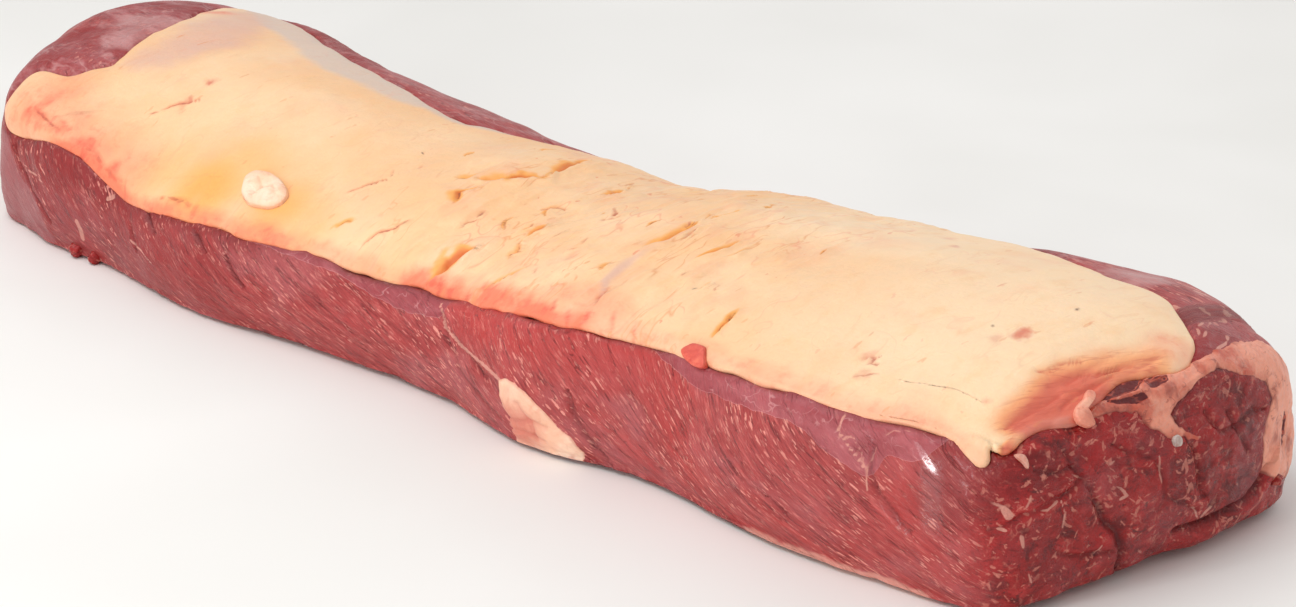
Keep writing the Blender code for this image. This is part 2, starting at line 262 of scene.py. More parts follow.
def lineDistance(a, b, line):  # nearest distance, share of the way along, and side of an open line
    line = np.array(line, float)
    steps = np.hypot(*(line[1:] - line[:-1]).T)
    start = np.concatenate([[0], np.cumsum(steps)])
    best = np.full(a.shape, 1e9)
    share = np.zeros(a.shape)
    side = np.zeros(a.shape)
    for i in range(len(line) - 1):
        across = line[i + 1] - line[i]
        t = np.clip(((a - line[i, 0]) * across[0] + (b - line[i, 1]) * across[1]) / max(steps[i]**2, 1e-12), 0, 1)
        da = a - line[i, 0] - across[0] * t
        db = b - line[i, 1] - across[1] * t
        distance = np.hypot(da, db)
        nearer = distance < best
        best = np.where(nearer, distance, best)
        share = np.where(nearer, (start[i] + t * steps[i]) / start[-1], share)
        side = np.where(nearer, np.sign(across[0] * db - across[1] * da), side)
    return best, share, side


def smoothLine(points, count, place=None, closed=False, shares=None):  # points on a smooth line, evenly spaced or at shares
    p = np.array(points, float)
    if closed:
        p = np.vstack([p[-1], p, p[0], p[1]])
    else:
        p = np.vstack([2 * p[0] - p[1], p, 2 * p[-1] - p[-2]])
    dense = []
    for i in range(1, len(p) - 2):
        t = np.linspace(0, 1, 24, endpoint=False)[:, None]
        dense.append(.5 * (2 * p[i] + (p[i + 1] - p[i - 1]) * t
                           + (2 * p[i - 1] - 5 * p[i] + 4 * p[i + 1] - p[i + 2]) * t * t
                           + (3 * p[i] - p[i - 1] - 3 * p[i + 1] + p[i + 2]) * t**3))
    dense = np.vstack(dense + [p[-2:-1]])
    spots = dense if place is None else place(dense)
    lengths = np.concatenate([[0], np.cumsum(np.linalg.norm(np.diff(spots, axis=0), axis=1))])
    wanted = np.linspace(0, lengths[-1], count + (1 if closed else 0)) if shares is None else shares * lengths[-1]
    if closed:
        wanted = wanted[:-1]
    return np.stack([np.interp(wanted, lengths, dense[:, k]) for k in range(dense.shape[1])], 1)


def insideOutline(a, b, outline):
    outline = np.array(outline, float)
    inside = np.zeros(a.shape, bool)
    for (a0, b0), (a1, b1) in zip(outline, np.roll(outline, -1, axis=0)):
        if b0 == b1:
            continue
        crosses = ((b0 > b) != (b1 > b)) & (a < (a1 - a0) * (b - b0) / (b1 - b0) + a0)
        inside ^= crosses
    return inside


def outlineDepth(a, b, outline):  # distance to a closed outline, positive inside it
    closed = np.vstack([outline, outline[:1]])
    distance = lineDistance(a, b, closed)[0]
    return np.where(insideOutline(a, b, outline), distance, -distance)


def gridFaces(rows, columns, wrap=False, start=0):
    r, c = np.meshgrid(np.arange(rows - 1), np.arange(columns if wrap else columns - 1), indexing="ij")
    after = (c + 1) % columns
    return (np.stack([r * columns + c, (r + 1) * columns + c, (r + 1) * columns + after, r * columns + after], -1)
            .reshape(-1, 4) + start)


def keepInBox(points):
    return np.clip(points, boxLow + .00005, boxHigh - .00005)


def makePiece(name, points, faces, material, nodes=(), masks=None, vectors=None):
    mesh = bpy.data.meshes.new(name)
    mesh.from_pydata(keepInBox(points).tolist(), [], [list(f) for f in faces])
    mesh.validate()
    mesh.polygons.foreach_set("use_smooth", [True] * len(mesh.polygons))
    for label, values in (masks or {}).items():
        mesh.attributes.new(label, "FLOAT", "POINT").data.foreach_set("value", np.asarray(values, np.float32).ravel())
    for label, values in (vectors or {}).items():
        layer = mesh.attributes.new(label, "FLOAT_VECTOR", "POINT")
        layer.data.foreach_set("vector", np.asarray(values, np.float32).ravel())
    mesh.materials.append(material)
    piece = bpy.data.objects.new(name, mesh)
    bpy.context.scene.collection.objects.link(piece)
    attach(piece, "root")
    if nodes:
        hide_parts(*nodes)
    print(name, len(points), "points")
    return piece


# finishes: small helpers, then the effects that several finishes share
def tone(red, green, blue):
    return tuple((c / 255 / 12.92 if c <= 10 else ((c / 255 + .055) / 1.055)**2.4) for c in (red, green, blue)) + (1,)


def put(tree, kind, settings=None, inputs=None, out=0):
    node = tree.nodes.new(kind)
    for key, value in (settings or {}).items():
        setattr(node, key, value)
    for key, value in (inputs or {}).items():
        if isinstance(value, bpy.types.NodeSocket):
            tree.links.new(value, node.inputs[key])
        else:
            node.inputs[key].default_value = value
    return node.outputs[out]


def blendTone(tree, mask, under, over, mode="MIX"):
    return put(tree, "ShaderNodeMix", {"data_type": "RGBA", "blend_type": mode}, {0: mask, 6: under, 7: over}, 2)


def sums(tree, operation, first, second=0.0, third=0.0, clamp=False):
    return put(tree, "ShaderNodeMath", {"operation": operation, "use_clamp": clamp}, {0: first, 1: second, 2: third})


def spread(tree, value, low, high, newLow=0.0, newHigh=1.0):
    return put(tree, "ShaderNodeMapRange", {"interpolation_type": "SMOOTHSTEP"},
               {"Value": value, "From Min": low, "From Max": high, "To Min": newLow, "To Max": newHigh})


def maskValue(tree, name):
    return put(tree, "ShaderNodeAttribute", {"attribute_name": name}, out=2)


def stretched(tree, vector, scale):
    return put(tree, "ShaderNodeVectorMath", {"operation": "MULTIPLY"}, {0: vector, 1: scale})


def cloud(tree, vector, scale, detail=3.0, roughness=.5, distortion=0.0):
    return put(tree, "ShaderNodeTexNoise", {}, {"Vector": vector, "Scale": scale, "Detail": detail,
                                               "Roughness": roughness, "Distortion": distortion})


def startGroup(name, inputs, outputs):
    group = bpy.data.node_groups.new(name, "ShaderNodeTree")
    for label, kind, value in inputs:
        socket = group.interface.new_socket(name=label, in_out="INPUT", socket_type=kind)
        if value is not None:
            socket.default_value = value
    for label, kind in outputs:
        group.interface.new_socket(name=label, in_out="OUTPUT", socket_type=kind)
    return group, group.nodes.new("NodeGroupInput").outputs, group.nodes.new("NodeGroupOutput").inputs


def useGroup(tree, group, inputs, out=0):
    node = tree.nodes.new("ShaderNodeGroup")
    node.node_tree = group
    for key, value in inputs.items():
        if isinstance(value, bpy.types.NodeSocket):
            tree.links.new(value, node.inputs[key])
        else:
            node.inputs[key].default_value = value
    return node.outputs[out]


def fleckGroup():  # scattered flecks of fat: cells of a given share, each with its own size
    group, given, result = startGroup("marbling flecks", [
        ("Vector", "NodeSocketVector", None), ("Waver", "NodeSocketFloat", .3), ("Share", "NodeSocketFloat", .4),
        ("Size", "NodeSocketFloat", .4)], [("Mask", "NodeSocketFloat")])
    drift = put(group, "ShaderNodeTexNoise", {}, {"Vector": given["Vector"], "Scale": 1.3, "Detail": 2.0}, 1)
    drift = put(group, "ShaderNodeVectorMath", {"operation": "SUBTRACT"}, {0: drift, 1: (.5, .5, .5)})
    drift = put(group, "ShaderNodeVectorMath", {"operation": "SCALE"}, {0: drift, "Scale": given["Waver"]})
    moved = put(group, "ShaderNodeVectorMath", {"operation": "ADD"}, {0: given["Vector"], 1: drift})
    cells = group.nodes.new("ShaderNodeTexVoronoi")
    cells.inputs["Scale"].default_value = 1.0
    group.links.new(moved, cells.inputs["Vector"])
    pick = put(group, "ShaderNodeSeparateColor", {}, {0: cells.outputs["Color"]})
    short = sums(group, "SUBTRACT", 1.0, given["Share"])
    size = sums(group, "DIVIDE", sums(group, "SUBTRACT", pick, short), given["Share"], clamp=True)
    size = sums(group, "MULTIPLY", sums(group, "POWER", size, .6), given["Size"])
    group.links.new(spread(group, sums(group, "SUBTRACT", size, cells.outputs["Distance"]), 0.0, .10), result["Mask"])
    return group


def threadGroup():  # thin wandering lines, broken up along their way
    group, given, result = startGroup("thin lines", [
        ("Vector", "NodeSocketVector", None), ("Width", "NodeSocketFloat", .03), ("Gaps", "NodeSocketFloat", .5)],
        [("Mask", "NodeSocketFloat")])
    field = cloud(group, given["Vector"], 1.0, 2.0, .5, .4)
    near = sums(group, "ABSOLUTE", sums(group, "SUBTRACT", field, .5))
    line = sums(group, "SUBTRACT", 1.0, sums(group, "DIVIDE", near, given["Width"]), clamp=True)
    moved = put(group, "ShaderNodeVectorMath", {"operation": "ADD"}, {0: given["Vector"], 1: (7.1, 3.3, 5.2)})
    patch = cloud(group, moved, .8, 2.0)
    kept = put(group, "ShaderNodeMapRange", {"interpolation_type": "SMOOTHSTEP"},
               {"Value": patch, "From Min": given["Gaps"], "From Max": sums(group, "ADD", given["Gaps"], .12)})
    group.links.new(sums(group, "MULTIPLY", line, kept), result["Mask"])
    return group


def mottleGroup():  # soft patches between two tones
    group, given, result = startGroup("soft patches", [
        ("Vector", "NodeSocketVector", None), ("Scale", "NodeSocketFloat", 30.0), ("Low", "NodeSocketFloat", .4),
        ("High", "NodeSocketFloat", .6)], [("Mask", "NodeSocketFloat")])
    field = cloud(group, given["Vector"], given["Scale"], 3.0, .55, .3)
    group.links.new(put(group, "ShaderNodeMapRange", {"interpolation_type": "SMOOTHSTEP"},
                        {"Value": field, "From Min": given["Low"], "From Max": given["High"]}), result["Mask"])
    return group


def wetGroup():  # the small dimples of a moist surface
    group, given, result = startGroup("moist dimples", [
        ("Vector", "NodeSocketVector", None), ("Scale", "NodeSocketFloat", 300.0)], [("Height", "NodeSocketFloat")])
    coarse = cloud(group, given["Vector"], given["Scale"], 2.0, .6)
    fine = cloud(group, given["Vector"], sums(group, "MULTIPLY", given["Scale"], 3.7), 2.0, .6)
    total = sums(group, "ADD", coarse, sums(group, "MULTIPLY", fine, .35))
    group.links.new(total, result["Height"])
    return group


flecks = fleckGroup()
threads = threadGroup()
mottle = mottleGroup()
dimples = wetGroup()


def startFinish(name, gloss):
    material = bpy.data.materials.new(name)
    material.use_nodes = True
    tree = material.node_tree
    shader = tree.nodes["Principled BSDF"]
    for key, value in gloss.items():
        shader.inputs[key].default_value = value
    place = tree.nodes.new("ShaderNodeTexCoord").outputs["Object"]
    return material, tree, shader, place


def setRelief(tree, shader, height, depth):
    normal = put(tree, "ShaderNodeBump", {}, {"Height": height, "Distance": depth, "Strength": 1.0})
    tree.links.new(normal, shader.inputs["Normal"])


# raw lean: fibres along the sides, a coarse cut face at the rump end, thin skins over parts of it
leanTones = {
    "deep": tone(138, 36, 38),
    "middle": tone(166, 56, 55),
    "pale": tone(197, 91, 87),
    "veil": tone(178, 98, 102),
    "fleck": tone(236, 152, 138),
    "line": tone(92, 22, 26),
    "bright": tone(190, 54, 50),
    "richRedAndShade": tone(136, 28, 30),
    "cutDark": tone(106, 14, 16),
    "cutMiddle": tone(158, 27, 26),
    "cutPale": tone(188, 54, 52),
    "cutRed": tone(180, 26, 28),
    "cutRich": tone(122, 16, 20),
    "cutVeil": tone(128, 46, 50),
    "cutFleck": tone(226, 140, 122),
    # painted shade colour for hollows, grooves and the gap under the cap
    "hollowShade": tone(66, 8, 12),
    "skinFilm": tone(154, 62, 70),
    "skinFilmPale": tone(176, 88, 95),
    "skinEdge": tone(222, 160, 160),
    "greyFilm": tone(166, 96, 98),
    "purple": tone(148, 58, 62),
    "purplePale": tone(184, 110, 112),
    "topRed": tone(150, 36, 38),
    "topFilm": tone(206, 150, 148),
    "stripPale": tone(222, 154, 138),
}
leanGloss = {
    "Roughness": .46,
    "Subsurface Weight": .08,
    "Subsurface Radius": (1.0, .25, .18),
    "Subsurface Scale": .003,
    "Coat Weight": .10,
    "Coat Roughness": .12,
    "Specular IOR Level": .38,
}


def leanSides(tree, place, grain):  # colour and height of the fibres along the sides
    bundles = cloud(tree, stretched(tree, grain, (300, 46, 170)), 1.0, 4.0, .6, .5)
    fine = cloud(tree, stretched(tree, grain, (900, 90, 600)), 1.0, 3.0, .65)
    fibre = sums(tree, "ADD", sums(tree, "MULTIPLY", bundles, .60), sums(tree, "MULTIPLY", fine, .40))
    side = blendTone(tree, spread(tree, fibre, .36, .50), leanTones["deep"], leanTones["middle"])
    side = blendTone(tree, spread(tree, fibre, .51, .66), side, leanTones["pale"])
    broad = useGroup(tree, mottle, {"Vector": stretched(tree, place, (1, 1, 1.6)), "Scale": 24.0, "Low": .46,
                                    "High": .64})
    side = blendTone(tree, sums(tree, "MULTIPLY", broad, .42), side, leanTones["veil"])
    red = useGroup(tree, mottle, {"Vector": stretched(tree, grain, (34, 11, 30)), "Scale": 1.0, "Low": .52,
                                  "High": .66})
    side = blendTone(tree, sums(tree, "MULTIPLY", red, .40), side, leanTones["bright"])
    side = blendTone(tree, sums(tree, "MULTIPLY", maskValue(tree, "bright"), .55), side, leanTones["bright"])
    # deep red meat, and under the cap's edge on the left also painted shade
    richRedAndShade = sums(tree, "ADD", maskValue(tree, "richRedAndShade"), sums(tree, "MULTIPLY", sums(tree, "SUBTRACT", bundles, .5), 1.2))
    side = blendTone(tree, spread(tree, richRedAndShade, .25, .95, 0, .8), side, leanTones["richRedAndShade"])
    wide = useGroup(tree, threads, {"Vector": stretched(tree, grain, (300, 44, 190)), "Width": .034, "Gaps": .50})
    side = blendTone(tree, sums(tree, "MULTIPLY", wide, .62), side, leanTones["line"])
    narrow = useGroup(tree, threads, {"Vector": stretched(tree, grain, (640, 84, 400)), "Width": .050, "Gaps": .50})
    side = blendTone(tree, sums(tree, "MULTIPLY", narrow, .34), side, leanTones["line"])
    light = useGroup(tree, threads, {"Vector": stretched(tree, grain, (420, 60, 290)), "Width": .040, "Gaps": .51})
    side = blendTone(tree, sums(tree, "MULTIPLY", light, .42), side, leanTones["fleck"])
    many = spread(tree, cloud(tree, place, 34.0, 3.0), .40, .58, .22, 1.0)
    small = useGroup(tree, flecks, {"Vector": stretched(tree, grain, (650, 175, 300)), "Waver": .9, "Share": .70,
                                    "Size": .44})
    side = blendTone(tree, sums(tree, "MULTIPLY", sums(tree, "MULTIPLY", small, many), .74), side, leanTones["fleck"])
    large = useGroup(tree, flecks, {"Vector": stretched(tree, grain, (400, 108, 200)), "Waver": 1.0, "Share": .36,
                                    "Size": .42})
    side = blendTone(tree, sums(tree, "MULTIPLY", sums(tree, "MULTIPLY", large, many), .85), side, leanTones["fleck"])
    height = sums(tree, "ADD", sums(tree, "MULTIPLY", bundles, .8), sums(tree, "MULTIPLY", fine, .35))
    height = sums(tree, "SUBTRACT", height, sums(tree, "MULTIPLY", wide, .30))
    height = sums(tree, "ADD", height, sums(tree, "MULTIPLY", small, .12))
    return side, height


def leanCut(tree, place):  # colour and height of the cut muscle
    blotch = cloud(tree, place, 105.0, 6.0, .66, .9)
    face = blendTone(tree, spread(tree, blotch, .36, .50), leanTones["cutDark"], leanTones["cutMiddle"])
    face = blendTone(tree, spread(tree, blotch, .52, .68), face, leanTones["cutPale"])
    red = useGroup(tree, mottle, {"Vector": stretched(tree, place, (1, 1.3, .8)), "Scale": 37.0, "Low": .50,
                                  "High": .62})
    face = blendTone(tree, sums(tree, "MULTIPLY", red, .55), face, leanTones["cutRed"])
    dull = useGroup(tree, mottle, {"Vector": stretched(tree, place, (1, 1, 1)), "Scale": 52.0, "Low": .52,
                                   "High": .64})
    face = blendTone(tree, sums(tree, "MULTIPLY", dull, .38), face, leanTones["cutVeil"])
    face = blendTone(tree, sums(tree, "MULTIPLY", maskValue(tree, "cutRich"), .75), face, leanTones["cutRich"])
    face = blendTone(tree, sums(tree, "MULTIPLY", maskValue(tree, "cutBright"), .6), face, leanTones["cutRed"])
    streaks = cloud(tree, stretched(tree, place, (90, 60, 240)), 1.0, 5.0, .65, 2.2)
    face = blendTone(tree, spread(tree, streaks, .56, .66, 0, .5), face, leanTones["cutPale"])
    face = blendTone(tree, spread(tree, streaks, .44, .36, 0, .6), face, leanTones["cutDark"])
    for angle, scale, share in ((.3, (240, 360, 150), .34), (1.2, (260, 460, 190), .36), (2.3, (300, 560, 260), .46)):
        turned = put(tree, "ShaderNodeVectorRotate", {"rotation_type": "X_AXIS"}, {"Vector": place, "Angle": angle})
        bits = useGroup(tree, flecks, {"Vector": stretched(tree, turned, scale), "Waver": 1.6, "Share": share,
                                       "Size": .42})
        face = blendTone(tree, sums(tree, "MULTIPLY", bits, .56), face, leanTones["cutFleck"])
    curl = useGroup(tree, threads, {"Vector": stretched(tree, place, (210, 210, 210)), "Width": .045, "Gaps": .52})
    face = blendTone(tree, sums(tree, "MULTIPLY", curl, .38), face, leanTones["cutFleck"])
    hollows = cloud(tree, stretched(tree, place, (1, .7, 1.3)), 230.0, 5.0, .65, 1.2)
    # painted shade: the deepest hollows of the cut face are darkened
    hollowShade = spread(tree, hollows, .395, .32)
    face = blendTone(tree, sums(tree, "MULTIPLY", hollowShade, .65), face, leanTones["hollowShade"])
    height = sums(tree, "ADD", sums(tree, "MULTIPLY", blotch, 1.0), sums(tree, "MULTIPLY", hollows, .8))
    return face, height


def leanSkins(tree, place, colour):  # purple tops, thin skins and pale strips
    patch = cloud(tree, stretched(tree, place, (1, 2.2, 1.5)), 46.0, 4.0, .6, .5)
    purple = blendTone(tree, spread(tree, patch, .44, .62), leanTones["purple"], leanTones["purplePale"])
    amount = sums(tree, "ADD", maskValue(tree, "purple"), sums(tree, "SUBTRACT", sums(tree, "MULTIPLY", patch, .9), .45))
    colour = blendTone(tree, spread(tree, amount, .15, .75, 0, .85), colour, purple)
    ruddy = cloud(tree, stretched(tree, place, (1, 1.8, 1.5)), 60.0, 5.0, .65, .7)
    ruddy = sums(tree, "MULTIPLY", spread(tree, ruddy, .50, .60), spread(tree, maskValue(tree, "purple"), .2, .6))
    colour = blendTone(tree, sums(tree, "MULTIPLY", ruddy, .5), colour, leanTones["topRed"])
    topRich = sums(tree, "ADD", maskValue(tree, "topRich"), sums(tree, "SUBTRACT", patch, .5))
    colour = blendTone(tree, spread(tree, topRich, .35, .75, 0, .85), colour, leanTones["topRed"])
    topFilm = sums(tree, "ADD", maskValue(tree, "topFilm"), sums(tree, "SUBTRACT", patch, .5))
    colour = blendTone(tree, spread(tree, topFilm, .20, .9, 0, .7), colour, leanTones["topFilm"])
    skins = useGroup(tree, threads, {"Vector": stretched(tree, place, (70, 150, 90)), "Width": .05, "Gaps": .46})
    skins = sums(tree, "MULTIPLY", skins, spread(tree, maskValue(tree, "purple"), .15, .5))
    colour = blendTone(tree, sums(tree, "MULTIPLY", skins, .5), colour, leanTones["topFilm"])
    edgeNoise = sums(tree, "SUBTRACT", cloud(tree, place, 150.0, 4.0), .5)
    film = sums(tree, "ADD", maskValue(tree, "film"), sums(tree, "MULTIPLY", edgeNoise, .55))
    film = spread(tree, film, .45, .51)
    veil = useGroup(tree, mottle, {"Vector": stretched(tree, place, (1, 1, 2)), "Scale": 75.0, "Low": .38,
                                   "High": .66})
    filmTone = blendTone(tree, veil, leanTones["skinFilm"], leanTones["skinFilmPale"])
    colour = blendTone(tree, sums(tree, "MULTIPLY", film, .82), colour, filmTone)
    rim = sums(tree, "MULTIPLY", spread(tree, film, .0, .5), spread(tree, film, 1.0, .5))
    colour = blendTone(tree, sums(tree, "MULTIPLY", rim, .7), colour, leanTones["skinEdge"])
    strings = useGroup(tree, threads, {"Vector": stretched(tree, place, (120, 120, 150)), "Width": .02, "Gaps": .50})
    colour = blendTone(tree, sums(tree, "MULTIPLY", sums(tree, "MULTIPLY", strings, film), .5), colour,
                       leanTones["skinEdge"])
    grey = sums(tree, "ADD", maskValue(tree, "greyFilm"), sums(tree, "MULTIPLY", edgeNoise, .4))
    colour = blendTone(tree, spread(tree, grey, .3, .7, 0, .75), colour, leanTones["greyFilm"])
    strip = sums(tree, "ADD", maskValue(tree, "paleStrip"), sums(tree, "MULTIPLY", edgeNoise, .6))
    return blendTone(tree, spread(tree, strip, .4, .62, 0, .8), colour, leanTones["stripPale"])


def leanFinish(name, cutOnly=False):
    material, tree, shader, place = startFinish(name, leanGloss)
    grain = put(tree, "ShaderNodeAttribute", {"attribute_name": "grain"}, out=1)
    colour, height = leanCut(tree, place)
    if cutOnly:
        colour = blendTone(tree, .22, colour, leanTones["cutDark"])
    wetness = spread(tree, cloud(tree, place, 380.0, 2.0), .50, .62, .50, .17)
    if not cutOnly:
        side, sideHeight = leanSides(tree, place, grain)
        face = maskValue(tree, "cutFace")
        colour = leanSkins(tree, place, blendTone(tree, face, side, colour))
        height = put(tree, "ShaderNodeMix", {"data_type": "FLOAT"}, {0: face, 2: sideHeight, 3: height})
        dry = spread(tree, cloud(tree, place, 90.0, 2.0), .35, .65, .36, .52)
        wetness = put(tree, "ShaderNodeMix", {"data_type": "FLOAT"}, {0: face, 2: dry, 3: wetness})
    colour = blendTone(tree, sums(tree, "MULTIPLY", maskValue(tree, "greyVeil"), .28), colour, tone(132, 72, 78))
    # painted shade: the shade mask darkens grooves, pits and the gap under the cap's lip
    colour = blendTone(tree, sums(tree, "MULTIPLY", maskValue(tree, "shade"), .8), colour, leanTones["hollowShade"])
    tree.links.new(colour, shader.inputs["Base Color"])
    wet = useGroup(tree, dimples, {"Vector": place, "Scale": 420.0})
    setRelief(tree, shader, sums(tree, "ADD", height, sums(tree, "MULTIPLY", wet, .22)), .0009)
    if not cutOnly:
        wetness = sums(tree, "SUBTRACT", wetness, sums(tree, "MULTIPLY", maskValue(tree, "wet"), .26))
        coat = sums(tree, "ADD", leanGloss["Coat Weight"], sums(tree, "MULTIPLY", maskValue(tree, "wet"), .9), clamp=True)
        tree.links.new(coat, shader.inputs["Coat Weight"])
    tree.links.new(wetness, shader.inputs["Roughness"])
    return material


# fat: cream, warmer or pinker in places, with cracks, small strokes and blood marks; painted shade in the pleats and
# fold creases, a painted highlight along the front lip, and partly along the rump lip
fatTones = {
    "cream": tone(246, 196, 147),
    "light": tone(255, 220, 181),
    "warm": tone(248, 174, 92),
    "salmon": tone(242, 128, 94),
    "film": tone(218, 196, 182),
    "lilac": tone(222, 178, 164),
    "peach": tone(255, 178, 124),
    "pink": tone(224, 112, 88),
    "ochre": tone(246, 172, 92),
    "deepOchre": tone(220, 116, 42),
    # blood stains, and painted shade in the fold creases
    "bloodAndCreaseShade": tone(212, 84, 62),
    "stroke": tone(226, 146, 92),
    "core": tone(128, 52, 14),
    "bloodCore": tone(186, 78, 56),
}
fatGloss = {
    "Roughness": .48,
    "Subsurface Weight": .15,
    "Subsurface Radius": (1.0, .6, .35),
    "Subsurface Scale": .004,
    "Coat Weight": .12,
    "Coat Roughness": .25,
    "Specular IOR Level": .42,
}


def fatFinish():
    material, tree, shader, place = startFinish("capFat", fatGloss)
    soft = useGroup(tree, mottle, {"Vector": place, "Scale": 14.0, "Low": .38, "High": .64})
    colour = blendTone(tree, sums(tree, "MULTIPLY", soft, .5), fatTones["cream"], fatTones["light"])
    # the light mask is mostly paler fat; along the front lip it is a painted highlight
    colour = blendTone(tree, maskValue(tree, "light"), colour, fatTones["light"])
    small = useGroup(tree, mottle, {"Vector": stretched(tree, place, (1.6, 1, 1)), "Scale": 70.0, "Low": .5,
                                    "High": .75})
    colour = blendTone(tree, sums(tree, "MULTIPLY", small, .35), colour, tone(246, 192, 138))
    colour = blendTone(tree, maskValue(tree, "warm"), colour, fatTones["warm"])
    blush = useGroup(tree, mottle, {"Vector": place, "Scale": 32.0, "Low": .52, "High": .74})
    colour = blendTone(tree, sums(tree, "MULTIPLY", blush, .30), colour, tone(247, 184, 150))
    waver = sums(tree, "MULTIPLY", sums(tree, "SUBTRACT", cloud(tree, place, 60.0, 6.0, .62), .5), 2.0)
    salmon = sums(tree, "MULTIPLY", maskValue(tree, "salmon"), sums(tree, "ADD", waver, .92), clamp=True)
    colour = blendTone(tree, salmon, colour, fatTones["salmon"])
    rosy = sums(tree, "MULTIPLY", salmon, useGroup(tree, mottle, {"Vector": place, "Scale": 190.0, "Low": .5,
                                                                "High": .72}))
    colour = blendTone(tree, sums(tree, "MULTIPLY", rosy, .7), colour, tone(232, 100, 76))
    slope = sums(tree, "ADD", maskValue(tree, "slope"), sums(tree, "MULTIPLY", waver, .12))
    colour = blendTone(tree, spread(tree, slope, .0, .55), colour, fatTones["peach"])
    colour = blendTone(tree, spread(tree, slope, .40, .90), colour, fatTones["pink"])
    striae = useGroup(tree, threads, {"Vector": stretched(tree, put(tree, "ShaderNodeVectorRotate",
                      {"rotation_type": "Z_AXIS"}, {"Vector": place, "Angle": .42}), (420, 60, 220)), "Width": .06,
                      "Gaps": .42})
    onSlope = sums(tree, "MULTIPLY", striae, spread(tree, slope, .1, .5))
    colour = blendTone(tree, sums(tree, "MULTIPLY", onSlope, .45), colour, tone(192, 80, 66))
    filmEdge = sums(tree, "ADD", maskValue(tree, "film"), sums(tree, "MULTIPLY", waver, .45))
    colour = blendTone(tree, spread(tree, filmEdge, .15, .85, 0, .85), colour, fatTones["film"])
    # the lilac mask is membrane film, and along the rump lip partly a painted highlight
    hazy = sums(tree, "ADD", maskValue(tree, "lilac"), sums(tree, "MULTIPLY", waver, .30))
    colour = blendTone(tree, spread(tree, hazy, .0, 1.0, 0, .75), colour, fatTones["lilac"])
    busy = maskValue(tree, "busy")
    dashes = useGroup(tree, flecks, {"Vector": stretched(tree, place, (330, 105, 200)), "Waver": .8, "Share": .13,
                                     "Size": .34})
    colour = blendTone(tree, sums(tree, "MULTIPLY", dashes, .34), colour, fatTones["stroke"])
    nicks = useGroup(tree, flecks, {"Vector": stretched(tree, place, (330, 150, 200)), "Waver": 1.6, "Share": .08,
                                    "Size": .33})
    colour = blendTone(tree, sums(tree, "MULTIPLY", nicks, sums(tree, "ADD", sums(tree, "MULTIPLY", busy, .35), .22)),
                       colour, tone(230, 124, 92))
    strokes = useGroup(tree, threads, {"Vector": stretched(tree, place, (130, 38, 60)), "Width": .024, "Gaps": .50})
    colour = blendTone(tree, sums(tree, "MULTIPLY", strokes, sums(tree, "ADD", sums(tree, "MULTIPLY", busy, .45), .16)),
                       colour, fatTones["stroke"])
    veins = useGroup(tree, threads, {"Vector": stretched(tree, place, (64, 30, 40)), "Width": .014, "Gaps": .50})
    colour = blendTone(tree, sums(tree, "MULTIPLY", veins, sums(tree, "ADD", sums(tree, "MULTIPLY", busy, .35), .16)),
                       colour, tone(238, 146, 116))
    patchy = useGroup(tree, mottle, {"Vector": stretched(tree, place, (1.8, 1, 1)), "Scale": 46.0, "Low": .5, "High": .7})
    colour = blendTone(tree, sums(tree, "MULTIPLY", sums(tree, "MULTIPLY", patchy, busy), .38), colour,
                       tone(240, 172, 134))
    ochre = maskValue(tree, "ochre")
    colour = blendTone(tree, spread(tree, ochre, .0, .5), colour, fatTones["ochre"])
    colour = blendTone(tree, spread(tree, ochre, .42, .92), colour, fatTones["deepOchre"])
    # blood stains and blood in cracks, plus painted shade along the fold creases
    colour = blendTone(tree, maskValue(tree, "bloodAndCreaseShade"), colour, fatTones["bloodAndCreaseShade"])
    wiggle = sums(tree, "MULTIPLY", sums(tree, "SUBTRACT", cloud(tree, place, 420.0, 3.0), .5), 1.1)
    core = sums(tree, "ABSOLUTE", sums(tree, "ADD", maskValue(tree, "crackOffset"), wiggle))
    core = sums(tree, "MULTIPLY", spread(tree, core, .70, .24), maskValue(tree, "crackStrength"))
    broken = spread(tree, cloud(tree, place, 260.0, 2.0), .38, .55)
    coreTone = blendTone(tree, spread(tree, ochre, .15, .5), fatTones["bloodCore"], fatTones["core"])
    colour = blendTone(tree, sums(tree, "MULTIPLY", sums(tree, "MULTIPLY", core, broken), .85), colour, coreTone)
    # painted shade: the pleat valleys on the fold slope are tinted darker
    colour = blendTone(tree, sums(tree, "MULTIPLY", maskValue(tree, "pleatShade"), .4), colour, tone(206, 100, 78))
    colour = blendTone(tree, maskValue(tree, "speck"), colour, tone(92, 56, 40))
    tree.links.new(colour, shader.inputs["Base Color"])
    wet = useGroup(tree, dimples, {"Vector": place, "Scale": 180.0})
    creases = cloud(tree, stretched(tree, place, (110, 36, 60)), 1.0, 4.0, .6, .4)
    setRelief(tree, shader, sums(tree, "ADD", sums(tree, "MULTIPLY", wet, .5), creases), .0007)
    rough = spread(tree, cloud(tree, place, 50.0, 2.0), .35, .65, .40, .58)
    tree.links.new(rough, shader.inputs["Roughness"])
    return material


def plainFatFinish(name, base, pale, dark, scale):  # the smaller pieces of fat
    material, tree, shader, place = startFinish(name, fatGloss)
    soft = useGroup(tree, mottle, {"Vector": place, "Scale": scale, "Low": .36, "High": .64})
    colour = blendTone(tree, soft, base, pale)
    blush = useGroup(tree, mottle, {"Vector": stretched(tree, place, (1, 1.4, .8)), "Scale": scale * 1.9, "Low": .5,
                                    "High": .72})
    colour = blendTone(tree, sums(tree, "MULTIPLY", blush, .5), colour, dark)
    lines = useGroup(tree, threads, {"Vector": stretched(tree, place, (110, 110, 110)), "Width": .02, "Gaps": .52})
    colour = blendTone(tree, sums(tree, "MULTIPLY", lines, .45), colour, dark)
    colour = blendTone(tree, maskValue(tree, "shade"), colour, dark)
    tree.links.new(colour, shader.inputs["Base Color"])
    wet = useGroup(tree, dimples, {"Vector": place, "Scale": 240.0})
    setRelief(tree, shader, wet, .0007)
    return material


